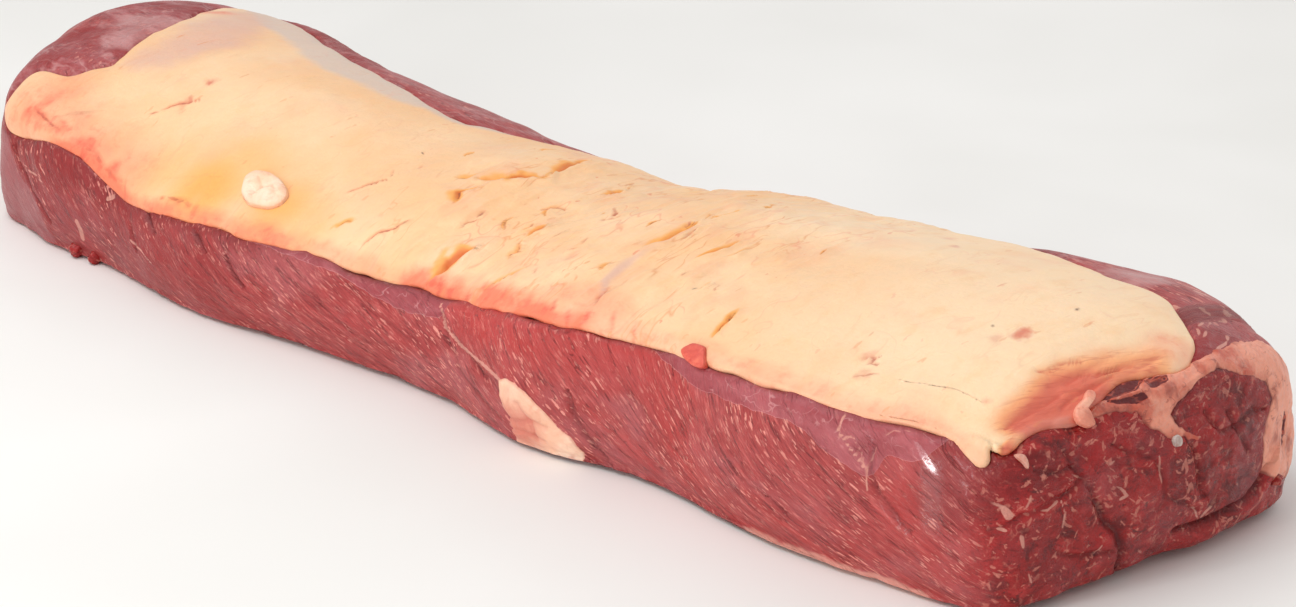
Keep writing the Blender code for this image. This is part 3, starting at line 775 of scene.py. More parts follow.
# the cap of fat: its outline on the skin, as (run, turn)
cap = {
    "front": [(.077, 4.80), (.093, 4.12), (.120, 4.28), (.146, 4.50), (.195, 4.60), (.250, 4.22), (.293, 4.70),
              (.340, 5.08), (.371, 4.98), (.420, 4.90), (.455, 4.78), (.510, 4.80), (.566, 4.80), (.600, 4.90),
              (.648, 4.60), (.690, 4.60), (.727, 4.70), (.773, 4.80), (.826, 4.70), (.861, 4.90), (.881, 4.95),
              (.8915, 4.82), (.8990, 4.60), (.9050, 4.42)],
    "rump": [(.9050, 4.42), (.9074, 4.43), (.9082, 4.56), (.9070, 4.74), (.9056, 4.90), (.9068, 5.00), (.9100, 4.99),
             (.9132, 5.03), (.9138, 5.18), (.9126, 5.36), (.9138, 5.62), (.9190, 5.88), (.9210, 6.06), (.9180, 6.24), (.9165, 6.48), (.9125, 6.74),
             (.9110, 7.00), (.9145, 7.30), (.9165, 7.55), (.9185, 7.75), (.9175, 7.96)],
    "back": [(.110, 9.65), (.142, 9.80), (.210, 9.40), (.267, 9.20), (.316, 9.00), (.353, 8.70), (.387, 8.60),
             (.397, 8.80), (.420, 9.00), (.440, 9.50), (.465, 9.70), (.510, 9.95), (.563, 10.1), (.640, 10.3),
             (.720, 10.0), (.763, 9.60), (.786, 9.40), (.823, 8.95), (.848, 8.88), (.868, 8.80), (.880, 8.66),
             (.903, 8.36), (.9175, 7.96)],
    "rib": [(.077, 4.80), (.087, 5.20), (.100, 5.60), (.127, 5.80), (.144, 6.10), (.157, 6.40), (.154, 6.90),
            (.151, 7.60), (.142, 8.10), (.131, 8.70), (.118, 9.25), (.110, 9.65)],
    "columns": 670,
    "rows": 116,
    "fineZone": (.40, .71),
    "fineness": 2.4,
    "raise": [(.07, 0), (.12, .0004), (.16, .0024), (.30, .0024), (.33, .0014), (.37, .0014), (.42, .0028),
              (.60, .0028), (.82, .0030), (.860, .0026), (.885, .0012), (.900, .0006)],
    "lipRows": 8,
    "lip": .0017,
    "sunk": .0006,
    "waves": .0009,
}
# cracks as depth and half width in mm, how yellow and how bloody they are, and a line of (x, y) in mm
cracks = [
    (2.2, 2.1, 1.0, .0, [(-23, -22), (-15, -17), (-11, -11), (-5, -5), (-5, 1)]),
    (1.5, 1.6, .8, .2, [(-5, -1), (-7, 9), (-9, 16), (-11, 25)]), (1.1, 1.5, .9, .2, [(-16, -38), (-20, -33), (-19, -30), (-17, -26)]),
    (.5, 1.4, .5, .0, [(-33, -24), (-28, -22), (-27, -16)]), (.8, .8, .1, .6, [(-3, -47), (-3, -44), (-2, -41)]),
    (.9, .9, .2, .6, [(-3, -40), (-3, -38), (-3, -35)]), (1.0, .8, .4, .5, [(31, -56), (29, -52), (31, -51), (28, -47), (27, -43)]),
    (1.8, 1.5, .8, .7, [(27, -44), (27, -38), (27, -32)]), (.6, .9, .5, .1, [(35, -72), (38, -66), (43, -63), (45, -58)]),
    (2.0, 2.3, 1.0, .3, [(5, -71), (7, -66), (7, -63), (9, -58), (11, -53)]), (1.2, 1.4, .8, .1, [(22, 1), (24, 6), (22, 12)]),
    (.8, .9, .1, .8, [(45, -22), (51, -22), (51, -17)]), (.7, .7, .1, .7, [(39, -10), (45, -15), (49, -20)]),
    (1.4, 1.0, .0, .9, [(95, -74), (93, -70), (91, -66), (90, -63)]), (.8, .9, .5, .2, [(80, -56), (78, -51)]),
    (1.2, 1.9, .7, .0, [(82, -36), (83, -32), (84, -25), (84, -15), (83, -9)]), (1.2, .8, .1, .6, [(90, -26), (89, -20), (88, -16)]),
    (.9, 1.1, .7, .0, [(85, -5), (87, 2), (88, 8)]), (1.0, 1.1, .7, .1, [(105, -37), (108, -27), (109, -16)]),
    (1.4, 1.3, .9, .0, [(150, -72), (148, -64), (146, -56)]), (.7, 1.0, .3, .5, [(14, -24), (18, -19), (22, -18)]),
    (.6, .8, .1, .5, [(54, -49), (58, -46)]), (.6, .8, .1, .5, [(57, -43), (55, -39)]),
    (.6, 1.2, .1, .9, [(-186, -45), (-182, -40), (-178, -37), (-174, -34)]), (.4, .9, .0, .5, [(-189, -49), (-186, -46)]),
    (.9, .8, .1, .9, [(-64, -51), (-60, -44), (-56, -38)]), (1.1, .9, .2, .8, [(-36, -69), (-34, -62), (-28, -58), (-26, -53)]),
    (.7, .7, .0, .7, [(-242, -67), (-238, -69), (-228, -71.5), (-217, -73)]),
    (.5, .6, .0, .5, [(-209, -73), (-201, -72.5), (-189, -74), (-177, -77)]),
    (.6, .7, .3, .7, [(-147, -76.5), (-138, -76), (-128, -76.5)]), (.3, 1.1, .6, .0, [(-56, -67), (-52, -62), (-49, -60)]),
    (.8, .9, .0, .7, [(208, -60), (211, -58), (212, -63), (215, -62)]), (.5, 1.0, .0, .5, [(212, -70), (216, -68), (219, -66)]),
]
# stains as (x, y, length along x, width, strength)
stains = [(-.181, -.024, .0022, .0016, .8), (-.178, -.040, .004, .0018, .45), (-.179, -.036, .002, .001, .6),
          (.245, -.025, .006, .004, .75), (.240, -.033, .005, .003, .3), (.208, -.059, .004, .004, .35),
          (.215, -.068, .004, .003, .3), (.261, -.062, .002, .002, .5), (-.182, -.022, .003, .003, .3),
          (-.125, -.077, .002, .002, .5), (.158, .040, .004, .003, .3), (.171, .028, .0035, .002, .4),
          (.272, -.052, .004, .003, .25), (.025, -.036, .004, .003, .3), (.060, -.052, .004, .003, .25),
          (.079, -.079, .003, .0012, .7), (.088, -.081, .004, .0010, .6), (.096, -.079, .002, .001, .6),
          (.107, -.077, .004, .0012, .6), (.117, -.077, .003, .0009, .6), (.012, -.073, .004, .0012, .6),
          (.030, -.077, .006, .0010, .5), (-.200, -.076, .005, .0009, .5), (-.170, -.078, .005, .0008, .5)]
specks = [(.247, .001, .0011), (.232, -.025, .0006), (.120, -.050, .0005), (-.060, -.016, .0005), (-.128, -.038, .0005)]
foldCreases = [[(274, -67), (274, -60), (275, -54), (275.5, -50), (275.5, -43)], [(263, -40), (266, -38), (267, -32), (269, -25)],
               [(280, -47), (279, -39), (280, -30), (281, -22)], [(274, -37), (274, -29), (277, -22), (280, -17)],
               [(277, -26), (279, -18), (281, -12)]]
foldLine = [(.9010, 4.96), (.8985, 5.20), (.8960, 5.50), (.8935, 5.75), (.8905, 6.05), (.8885, 6.30), (.8885, 6.60),
            (.8905, 6.90), (.8935, 7.20), (.8960, 7.42), (.9010, 7.62), (.9080, 7.78), (.9140, 7.96)]



def raggedEdge(line, seed, along, across):  # small teeth and bays on an edge of the cap
    spots = skin(line[:, 0], line[:, 1])
    calm = np.sin(np.linspace(0, math.pi, len(line)))**.35
    run = line[:, 0] + along * calm * (layeredLumps(spots, .012, 2, seed))
    turn = line[:, 1] + across * calm * (layeredLumps(spots, .014, 2, seed + 9))
    return np.stack([run, turn], 1)


def columnShares():  # closer columns where the cap is creased
    spot = np.linspace(0, 1, 400)
    low, high = cap["fineZone"]
    pace = 1 + (cap["fineness"] - 1) * ease(low - .05, low, spot) * (1 - ease(high, high + .05, spot))
    total = np.concatenate([[0], np.cumsum(pace[1:] + pace[:-1])])
    return np.interp(np.linspace(0, total[-1], cap["columns"]), total, spot)


capShares = columnShares()


def capEdges():
    onSkin = lambda p: skin(p[:, 0], p[:, 1])
    front = smoothLine(cap["front"], cap["columns"], onSkin, shares=capShares)
    perTurn = np.linalg.norm(skin(front[:, 0], front[:, 1] + .1) - skin(front[:, 0], front[:, 1] - .1), axis=-1) / .2
    front[:, 1] += alongCurve(cap["raise"], front[:, 0]) / perTurn
    front = raggedEdge(front, 3, .0006, .085)
    back = raggedEdge(smoothLine(cap["back"], cap["columns"], onSkin, shares=capShares), 5, .0006, .10)
    rib = raggedEdge(smoothLine(cap["rib"], cap["rows"], onSkin), 7, .0028, .02)
    rump = raggedEdge(smoothLine(cap["rump"], cap["rows"], onSkin), 8, .0016, .02)
    return front, back, rib, rump


def betweenEdges(front, back, rib, rump):
    s = capShares[:, None, None]
    t = np.linspace(0, 1, len(rib))[None, :, None]
    return ((1 - t) * front[:, None] + t * back[:, None] + (1 - s) * rib[None] + s * rump[None]
            - (1 - s) * (1 - t) * front[0] - s * (1 - t) * front[-1] - (1 - s) * t * back[0] - s * t * back[-1])


capFront, capBack, capRib, capRump = capEdges()
capOutline = np.vstack([capFront, capRump[1:], capBack[::-1][1:], capRib[::-1][1:-1]])
capOutlineSpots = skin(capOutline[:, 0], capOutline[:, 1])


def farFrom(spots, line):  # nearest distance in space to a line
    nearest = np.full(spots.shape[:-1], 1e9)
    for a, b in zip(line[:-1], line[1:]):
        way = b - a
        t = np.clip((spots - a) @ way / max(way @ way, 1e-12), 0, 1)
        nearest = np.minimum(nearest, ((spots - a - t[..., None] * way)**2).sum(-1))
    return np.sqrt(nearest)


def capDepth(run, turn, spots):  # how far inside the cap's edge a place is, in metres
    inside = insideOutline(run, turn % turnCorners, capOutline[::3])
    return np.where(inside, 1, -1) * farFrom(spots, np.vstack([capOutlineSpots[::4], capOutlineSpots[:1]]))


def foldPlace(run, turn):  # metres past the fold towards the rump end
    distance, share, side = lineDistance(run * .606, turn * .024, np.array(foldLine) * (.606, .024))
    return distance * -side, share


def smallCracks():  # many short nicks across the creased stretch
    pick = np.random.default_rng(17)
    for i in range(34):
        x = pick.uniform(-.060, .165)
        y = pick.uniform(-.066, .030)
        long = pick.uniform(.003, .009)
        slant = pick.normal(-.15, .35)
        line = [(x, y), (x + long * (slant + pick.normal(0, .25)) * .5, y + long * .5), (x + long * slant, y + long)]
        yield (pick.uniform(.2, .8), pick.uniform(.5, .9), pick.uniform(.1, .7) * (pick.random() < .6),
               pick.uniform(.1, .6) * (pick.random() < .6), np.array(line) * 1000)


def capRelief(run, turn, spots, depth):
    x, y = spots[..., 0], spots[..., 1]
    height = -cap["sunk"] - .0005 * (1 - ease(0, .005, depth))
    height += .0030 * ease(-.235, -.262, x) * ease(-.02, -.055, y)
    height += cap["waves"] * lumps(spots, .050, 21) * ease(0, .02, depth)
    height += .0004 * lumps(spots, (.017, .024, .02), 22) + .00012 * layeredLumps(spots, .006, 2, 23)
    busy = ease(-.065, -.01, x) * (1 - ease(.11, .18, x))
    ridges = 1 - 2 * np.abs(layeredLumps(spots, (.0075, .022, .03), 3, 31))
    steps = layeredLumps(spots, (.011, .019, .03), 2, 35)
    height += (.00045 * busy + .00012) * ridges * ease(0, .008, depth)
    height += .0007 * busy * (ease(-.1, .25, steps) - .5)
    ochre = np.zeros(run.shape)
    bloodAndCreaseShade = np.zeros(run.shape)
    offset = np.full(run.shape, 9.0)
    strength = np.zeros(run.shape)
    bent = lumps(spots, .0035, 41) * .0007 + lumps(spots, .0015, 44) * .0002
    bent2 = lumps(spots, .0035, 42) * .0007
    for deep, wide, ochreShare, bloodShare, line in cracks + list(smallCracks()):
        deep = deep / 1000
        distance, share, side = lineDistance(x + bent, y + bent2, np.array(line) / 1000)
        swell = np.sin(share * math.pi)**.6
        wide = wide / 1000 * (.35 + .65 * swell) * (1 + .45 * lumps(spots, .005, 43))
        slack = np.where(side > 0, 1.0, .45)
        near = np.exp(-(distance / (.80 * wide * slack))**2)
        height -= .85 * deep * near
        height += deep * .45 * np.exp(-((distance - 1.5 * wide) / (1.0 * wide))**2) * (side < 0)
        feather = 1 + .5 * lumps(spots, .0035, 45)
        ochre = np.maximum(ochre, ochreShare * np.exp(-(distance / (1.9 * wide * slack * feather))**2) * (.4 + .6 * swell))
        bloodAndCreaseShade = np.maximum(bloodAndCreaseShade, bloodShare * np.exp(-(distance / (.8 * wide))**2) * .8)
        closer = distance * 1000 < np.abs(offset)
        offset = np.where(closer, distance * side * 1000, offset)
        strength = np.where(closer, swell * min(1, .2 + deep / .0018) * (ochreShare + bloodShare > 0), strength)
    strength *= ease(2.6, 1.6, np.abs(offset))
    for sx, sy, long, wide, power in stains:
        a = (x - sx) * .8 + (y - sy) * .6
        b = (y - sy) * .8 - (x - sx) * .6
        ring = np.sqrt((a / wide)**2 + (b / long)**2) + .8 * layeredLumps(spots, .004, 3, 51)
        bloodAndCreaseShade = np.maximum(bloodAndCreaseShade, power * (1 - ease(.0, 1.2, ring)))
    speck = np.zeros(run.shape)
    for sx, sy, size in specks:
        near = np.hypot(x - sx, y - sy) / size
        speck = np.maximum(speck, 1 - ease(.5, 1.2, near))
        height += .0002 * np.exp(-near**2)
    past, share = foldPlace(run, turn)
    rough = lumps(spots, .010, 61) * .0010 + lumps(spots, .004, 63) * .0004
    foldStrength = ease(.02, .16, share) * (1 - ease(.90, 1.0, share)) * (run > .86)
    slope = ease(-.0030, .0065, past + rough) * foldStrength
    height -= .0014 * slope
    pleats = np.abs(layeredLumps(np.stack([x - .10 * y, y, z3(spots)], -1), (.0026, .030, .010), 2, 62))
    height -= .0005 * ease(.3, 1, slope) * (1 - pleats * 2)
    height += .0012 * slope * (1 - ease(.0010, .0042, depth))
    height += .0012 * ease(.888, .899, run) * (turn < 5.0)
    slopeTint = ease(-.0065, .0090, past + .6 * rough) * foldStrength * (1 - .35 * ease(.45, .7, share))
    shelf = ease(.8985, .902, run) * (1 - ease(5.0, 5.6, turn)) * ease(.0105, .0125, x - .2628 - .0006 * turn)
    slopeTint = np.maximum(slopeTint, .8 * np.clip(shelf, 0, 1))
    # painted shade: each fold crease is sunk and a red line is painted in its valley
    for line in foldCreases:
        near = lineDistance(x + .0010 * lumps(spots, .008, 65), y, np.array(line) / 1000)[0]
        height -= .0007 * np.exp(-(near / .0009)**2)
        bloodAndCreaseShade = np.maximum(bloodAndCreaseShade, .60 * np.exp(-(near / .0006)**2))
    # the pleatShade mask follows the sunken pleats: painted shade in their valleys
    return height, {"ochre": ochre, "bloodAndCreaseShade": bloodAndCreaseShade, "speck": speck, "slope": slopeTint, "crackOffset": np.clip(offset, -3, 3),
                    "crackStrength": strength, "busy": busy, "pleatShade": slope * (1 - np.clip(pleats * 3, 0, 1))}


def z3(spots):
    return spots[..., 2]


def capTints(run, turn, spots, depth):
    x, y = spots[..., 0], spots[..., 1]
    frontDepth = farFrom(spots, skin(capFront[::4, 0], capFront[::4, 1]))
    redBits = [(-.276, .022), (-.274, .034), (-.262, .038), (-.249, .047), (-.250, .034), (-.266, .028)]
    redRim = .75 * ease(-.003, .004, outlineDepth(x, y, np.array(redBits)) + .003 * layeredLumps(spots, .007, 3, 54))
    edgeLine = [(-.238, -.061), (-.242, -.068), (-.228, -.0715), (-.217, -.073), (-.201, -.073), (-.177, -.077)]
    distance, share, side = lineDistance(x, y, edgeLine)
    corner = .85 * (1 - ease(.0, .0105 - .004 * share, distance + .0045 * layeredLumps(spots, .007, 3, 55)))
    corner = np.maximum(corner, .48 * (1 - ease(.004, .028, distance)))
    along = ease(-.235, -.21, x) * (1 - ease(-.17, -.12, x)) + .75 * ease(-.165, -.13, x) * (1 - ease(-.08, -.05, x))
    along = np.maximum(along, 1.25 * ease(-.025, .0, x) * (1 - ease(.085, .115, x)))
    along = np.maximum(along, .42)
    wide = .0078 + .0036 * ease(-.02, .0, x) * (1 - ease(.05, .09, x))
    salmon = np.maximum(corner, along * (1 - ease(.08, 1, frontDepth / wide + .35 * layeredLumps(spots, .012, 3, 56))))
    rightTip = .40 * (1 - ease(.004, .015, np.hypot(x - .284, y - .006)))
    salmon = np.maximum(salmon, rightTip)
    salmon = np.maximum(salmon, redRim)
    flesh = (1 - ease(.010, .020, np.hypot((x - .088) * .6, y + .079))) * .45
    salmon = np.maximum(salmon, flesh)
    warm = np.zeros(run.shape)
    for wx, wy, reach, power in ((-.128, -.069, .026, 1.0), (-.087, -.068, .022, .85), (-.118, -.057, .026, .55),
                                 (-.070, -.069, .020, .5), (-.155, -.066, .018, .4), (-.215, .020, .030, .25)):
        warm = np.maximum(warm, power * (1 - ease(.002, reach, np.hypot((x - wx) * .8, y - wy))))
    light = .9 * ease(.12, .22, x) * (1 - .5 * ease(-.05, -.075, y))
    light = np.maximum(light, .9 * ease(.05, .12, x) * ease(-.015, .015, y))
    # painted highlight: the light mask is raised along the front lip's edge
    light = np.maximum(light, .5 * (1 - ease(.001, .005, frontDepth)) * ease(.08, .12, x))
    light = np.maximum(light, .35 * (1 - ease(0, .03, np.hypot(x + .07, y - .005))))
    filmInner = [(-.262, .060), (-.231, .044), (-.208, .039), (-.182, .026), (-.159, .017), (-.140, .017), (-.117, .016),
                 (-.100, .020), (-.080, .020), (-.062, .028), (-.045, .038), (-.028, .044), (0, .050)]
    distance, share, side = lineDistance(x, y, filmInner)
    film = np.clip(.5 + side * distance / .010, 0, 1) * (x > -.262) * (1 - ease(-.03, -.012, x))
    lilac = [(-.229, -.034), (-.221, -.034), (-.212, -.024), (-.206, -.012), (-.205, .001), (-.203, .015), (-.216, .033),
             (-.226, .047), (-.262, .064), (-.256, .047), (-.251, .026), (-.245, .012), (-.235, -.004), (-.232, -.016)]
    endFilm = .78 * ease(-.010, .010, outlineDepth(x, y, np.array(lilac)) + .004 * layeredLumps(spots, .012, 3, 53))
    streak, share, side = lineDistance(x, y, [(.092, -.068), (.086, -.060), (.084, -.046), (.085, -.034), (.087, -.014)])
    violet = .9 * np.exp(-(streak / (.0008 + .0022 * np.sin(share * math.pi)))**2) * (1 - .6 * ease(.35, .6, share))
    # pale pink rim along the rump lip: partly the lip's own colour, partly a painted highlight on its rounded edge
    pinkRimHighlight = .35 * (1 - ease(.001, .0035, depth)) * (run > .90) * ease(5.0, 5.3, turn) * (1 - ease(6.3, 6.8, turn))
    return {"salmon": salmon, "warm": warm, "light": light, "film": film,
            "lilac": np.maximum(np.maximum(endFilm, violet), pinkRimHighlight)}


def closeUnderneath(rows, columns, ringStart, innerStart, stepR, stepC):
    # the hidden underside: coarse cells, whose outer ones take in every point of the closing ring
    total = 2 * (rows + columns) - 4

    def ringIndex(r, c):
        if c == 0:
            return r
        if r == rows - 1:
            return rows - 1 + c
        if c == columns - 1:
            return (rows - 1) + (columns - 1) + (rows - 1 - r)
        return (rows - 1) * 2 + (columns - 1) + (columns - 1 - c)

    rCuts = list(range(0, rows - 1, stepR)) + [rows - 1]
    cCuts = list(range(0, columns - 1, stepC)) + [columns - 1]
    inner = {}
    picks = []
    for i in range(1, len(rCuts) - 1):
        for j in range(1, len(cCuts) - 1):
            inner[i, j] = innerStart + len(picks)
            picks.append((rCuts[i], cCuts[j]))

    def side(i0, j0, i1, j1):  # the points from one coarse corner up to the next
        r0, c0, r1, c1 = rCuts[i0], cCuts[j0], rCuts[i1], cCuts[j1]
        onRing = (r0 == r1 and r0 in (0, rows - 1)) or (c0 == c1 and c0 in (0, columns - 1))
        if not onRing:
            edge = r0 in (0, rows - 1) or c0 in (0, columns - 1)
            return [ringStart + ringIndex(r0, c0) % total if edge else inner[i0, j0]]
        count = max(abs(r1 - r0), abs(c1 - c0))
        return [ringStart + ringIndex(r0 + (r1 - r0) * k // count, c0 + (c1 - c0) * k // count) % total
                for k in range(count)]

    faces = []
    for i in range(len(rCuts) - 1):
        for j in range(len(cCuts) - 1):
            faces.append(side(i, j, i, j + 1) + side(i, j + 1, i + 1, j + 1) + side(i + 1, j + 1, i + 1, j)
                         + side(i + 1, j, i, j))
    return faces, picks


def makeCap():
    grid = betweenEdges(capFront, capBack, capRib, capRump)
    run, turn = grid[..., 0], grid[..., 1]
    rows, columns = run.shape
    spots = skin(run, turn)
    normals = skinNormal(run, turn)
    depth = np.maximum(capDepth(run, turn, spots), 0)
    height, marks = capRelief(run, turn, spots, depth)
    tints = capTints(run, turn, spots, depth)
    top = spots + normals * height[..., None]
    r = np.concatenate([np.arange(rows), np.full(columns - 1, rows - 1), np.arange(rows - 2, -1, -1),
                        np.zeros(columns - 2, int)])
    c = np.concatenate([np.zeros(rows, int), np.arange(1, columns), np.full(rows - 1, columns - 1),
                        np.arange(columns - 2, 0, -1)])
    edge = top[r, c]
    edgeNormal = normals[r, c]
    ahead = unit(np.roll(edge, -2, axis=0) - np.roll(edge, 2, axis=0))
    outward = unit(np.cross(ahead, edgeNormal))
    lip = cap["lip"] * (1 + .35 * lumps(edge, .012, 71))[:, None]
    rings = []
    for k in range(1, cap["lipRows"] + 1):
        bend = math.pi / 2 - (math.pi * 1.02) * k / cap["lipRows"]
        rings.append(edge + edgeNormal * (lip * (math.sin(bend) - 1)) + outward * (lip * math.cos(bend)))
    rings.append(edge - edgeNormal * (2 * lip + .0009) - outward * .004)
    ringCount = len(edge)
    points = [top.reshape(-1, 3)] + rings
    faces = [gridFaces(rows, columns)[:, ::-1]]
    topRing = r * columns + c
    following = np.roll(np.arange(ringCount), -1)
    start = rows * columns
    for k in range(len(rings)):
        upper = topRing if k == 0 else start + (k - 1) * ringCount + np.arange(ringCount)
        lower = start + k * ringCount + np.arange(ringCount)
        faces.append(np.stack([upper, upper[following], lower[following], lower], 1))
    innerStart = start + len(rings) * ringCount
    under, picks = closeUnderneath(rows, columns, start + (len(rings) - 1) * ringCount, innerStart, 8, 6)
    pickR = np.array([p[0] for p in picks])
    pickC = np.array([p[1] for p in picks])
    points.append(top[pickR, pickC] - normals[pickR, pickC] * .0045)
    allFaces = [list(f) for block in faces for f in block.tolist()] + [f[::-1] for f in under]
    masks = {}
    for name, field in {**marks, **tints}.items():
        rim = field[r, c]
        masks[name] = np.concatenate([field.ravel()] + [rim] * len(rings) + [field[pickR, pickC]])
    makePiece("capFat", np.vstack(points), allFaces, fatFinish(), ["fat_cap"], masks)


makeCap()


# the lean body: one closed skin, finest on the front side and on the cut rump end
lean = {
    "split": .893,
    "stations": 500,
    "rumpRings": 150,
    "endTurns": 560,
    "ribRings": 40,
    "turnSteps": (6, 12, 12, 11, 11, 15, 13, 13, 13, 11, 9, 11, 8, 5, 4, 4),
    "sunk": .0008,
    "underCap": .0030,
    "fibre": .00030,
    "swell": .0011,
    "cutRough": .0008,
}
# outlines on the rump end as (y, z + .300 - x), and on the front side as (x, z)
seamOutline = [(-.070, .0865), (-.056, .0805), (-.048, .0760), (-.041, .0725), (-.036, .0730), (-.027, .0690),
               (-.021, .0630), (-.018, .0580), (-.014, .0530), (-.010, .0490), (-.006, .0490), (-.004, .0465),
               (.000, .0440), (.004, .0450), (-.001, .0495), (-.007, .0540), (-.009, .0600), (-.006, .0615),
               (.000, .0645), (.006, .0680), (.015, .0700), (.021, .0665), (.028, .0620), (.036, .0580),
               (.041, .0550), (.043, .0485), (.0385, .0410), (.037, .0340), (.0365, .0260), (.037, .0210),
               (.045, .0175), (.055, .0165), (.062, .0180), (.068, .0280), (.070, .0400), (.066, .0560),
               (.058, .0700), (.050, .0770), (.042, .0785), (.033, .0795), (.023, .0790), (.014, .0780),
               (.007, .0790), (.002, .0850), (-.006, .0890), (-.014, .0930), (-.028, .0950), (-.040, .0920),
               (-.050, .0900), (-.062, .0950)]
muscleOutline = [(-.0095, .0600), (-.006, .0625), (.000, .0655), (.006, .0690), (.015, .0710), (.022, .0680),
                 (.029, .0635), (.037, .0595), (.042, .0560), (.044, .0485), (.0395, .0410), (.038, .0340),
                 (.0375, .0260), (.037, .0215), (.031, .0175), (.022, .0160), (.013, .0160), (.006, .0190),
                 (.001, .0250), (.000, .0310), (.000, .0370), (-.002, .0430), (-.005, .0480), (-.0075, .0540)]
meatInSeam = [[(-.005, .0810), (-.014, .0840), (-.022, .0870), (-.026, .0850), (-.030, .0840), (-.036, .0830),
               (-.034, .0795), (-.028, .0780), (-.024, .0775), (-.019, .0765), (-.016, .0780), (-.011, .0805)],
              [(-.031, .0775), (-.028, .0735), (-.022, .0705), (-.017, .0705), (-.018, .0740), (-.025, .0750)],
              [(-.014, .0790), (-.010, .0800), (-.004, .0770), (-.005, .0740), (-.011, .0730), (-.014, .0745)],
              [(.052, .0290), (.0545, .0330), (.055, .0400), (.0525, .0420), (.0515, .0350)]]
sideFatOutline = [(.0615, .0180), (.0615, .0235), (.0660, .0258), (.0705, .0255), (.0785, .0220), (.0850, .0180),
                  (.0900, .0135), (.0950, .0105), (.0990, .0045), (.0985, .0015), (.091, .0010), (.079, .0008),
                  (.0680, .0008), (.0660, .0050), (.0665, .0085), (.0650, .0120)]
# grooves as depth and half width in mm and a line in mm: (x, z) on the front side, (y, z) on the rump end
sideGrooves = [
    (1.3, 0.9, [(-250, 38), (-243, 30), (-234, 24), (-223, 18), (-217, 12)]),
    (2.2, 1.3, [(-153, 33.5), (-148, 31), (-142, 27.5)]), (2.2, 1.2, [(-120, 34), (-115, 31.5), (-109, 28.5)]),
    (1.2, 0.9, [(-161, 27), (-158, 22), (-153, 16)]), (1.4, 1, [(-98, 30), (-93, 25), (-86, 20)]),
    (1.0, 1.3, [(20, 36), (26, 27), (36, 17.5), (50, 11), (60, 8)]),
    (1.2, 1.2, [(94, 28), (98, 19), (104, 9), (110, 1)]),
    (1.2, 0.9, [(235, 48), (234, 41), (238, 33), (243, 28), (251, 23)]),
    (1.2, 0.8, [(85, 50.5), (88, 49.5), (92, 49)]), (0.8, 1, [(30, 30), (45, 24), (58, 21)]),
    (0.7, 1, [(112, 40), (122, 31), (135, 24), (152, 18)]),
    (0.7, 1, [(160, 36), (172, 27), (186, 21), (203, 16)]), (0.7, 1, [(-50, 26), (-36, 19), (-20, 13)]),
]
endGrooves = [
    (1, 1.2, [(-55, 57), (-50, 46), (-44, 36)]),
    (1.9, 1.4, [(-43, 34), (-40, 27), (-34, 21), (-32, 15), (-27, 4)]),
    (1, 1.1, [(-77, 32), (-67, 37), (-57, 39), (-47, 43)]),
    (0.8, 0.9, [(-18, 42), (-17, 36), (-15, 28), (-9, 25), (1, 20)]),
    (0.8, 0.9, [(-2, 43), (0, 37), (1, 30), (3, 24)]),
    (3, 1.5, [(-6, 13), (4, 11), (14, 12), (24, 14), (28, 15), (35, 20), (39, 23)]),
    (1.2, 1.2, [(17, 50), (20, 42), (26, 34)]), (1, 1, [(6, 52), (12, 45), (20, 44), (30, 46), (38, 44)]),
    (3.6, 2, [(-68, 61), (-71, 58.5), (-75, 57)]), (0.9, 1, [(-60, 20), (-48, 16), (-36, 14)]),
    (0.9, 1.1, [(-66, 50), (-58, 46), (-50, 48)]), (0.9, 0.9, [(-34, 52), (-26, 46), (-20, 44)]),
]
paleEndLines = [  # as a half width in mm and a line of (y, z) in mm
    (.8, [(20, 23), (13, 22), (9, 18), (5, 15)]), (.5, [(19, 36), (20, 29), (20, 22)]),
    (.6, [(7, 34), (12, 29), (16, 26)]), (.5, [(11, 26), (20, 27)]), (.9, [(-35, 46), (-39, 44), (-44, 41)]),
    (.6, [(-17, 43), (-17, 37), (-16, 32), (-14, 28), (-7, 23), (0, 20), (2, 16)]),
    (.7, [(-35, 37), (-32, 35), (-31, 33), (-34, 32)]), (1.1, [(-70, 47), (-69, 43), (-70, 39)]),
    (.7, [(-57, 37), (-55, 33), (-56, 28)]), (.9, [(-72, 31), (-71, 26), (-70, 22)]), (.7, [(-41, 18), (-44, 15)]),
    (.6, [(-59, 37), (-63, 35), (-66, 35)]), (.6, [(-24, 16), (-22, 11), (-18, 8)]), (.7, [(-69, 15), (-68, 12)]),
    (.8, [(-80, 35), (-79, 32), (-77, 31)]), (.6, [(-50, 12), (-48, 16), (-47, 18)]),
    (.7, [(-53, 46), (-49, 43), (-44, 41)]), (1.5, [(-80, 41), (-77, 39), (-75, 36)]),
]
endZones = [  # as name, (y, z) in mm, reach in mm and strength
    ("cutBright", (-45, 50), 8, 1.0), ("cutBright", (-39, 20), 6, .9), ("cutBright", (-60, 40), 6, .5),
    ("cutBright", (-6, 12), 6, .7), ("cutRich", (-76, 50), 10, 1.0), ("cutRich", (-64, 49), 9, 1.0),
    ("cutRich", (-82, 44), 8, .9), ("cutRich", (-8, 34), 7, .9), ("cutRich", (-62, 12), 8, .5),
    ("greyVeil", (-38, 40), 7, .9), ("greyVeil", (-12, 18), 10, .9), ("greyVeil", (-20, 26), 6, .7),
    ("greyVeil", (-55, 9), 7, .7), ("greyVeil", (-18, 48), 7, .8), ("greyVeil", (-22, 9), 7, .7),
    ("greyVeil", (-53, 55), 3, .9), ("greyVeil", (-50, 48), 3, .9), ("greyVeil", (-46, 41), 3.5, .9),
]


def endPlace(spots):  # the rump end laid flat: its top edge unrolled upwards
    return spots[..., 1], spots[..., 2] + .300 - spots[..., 0]


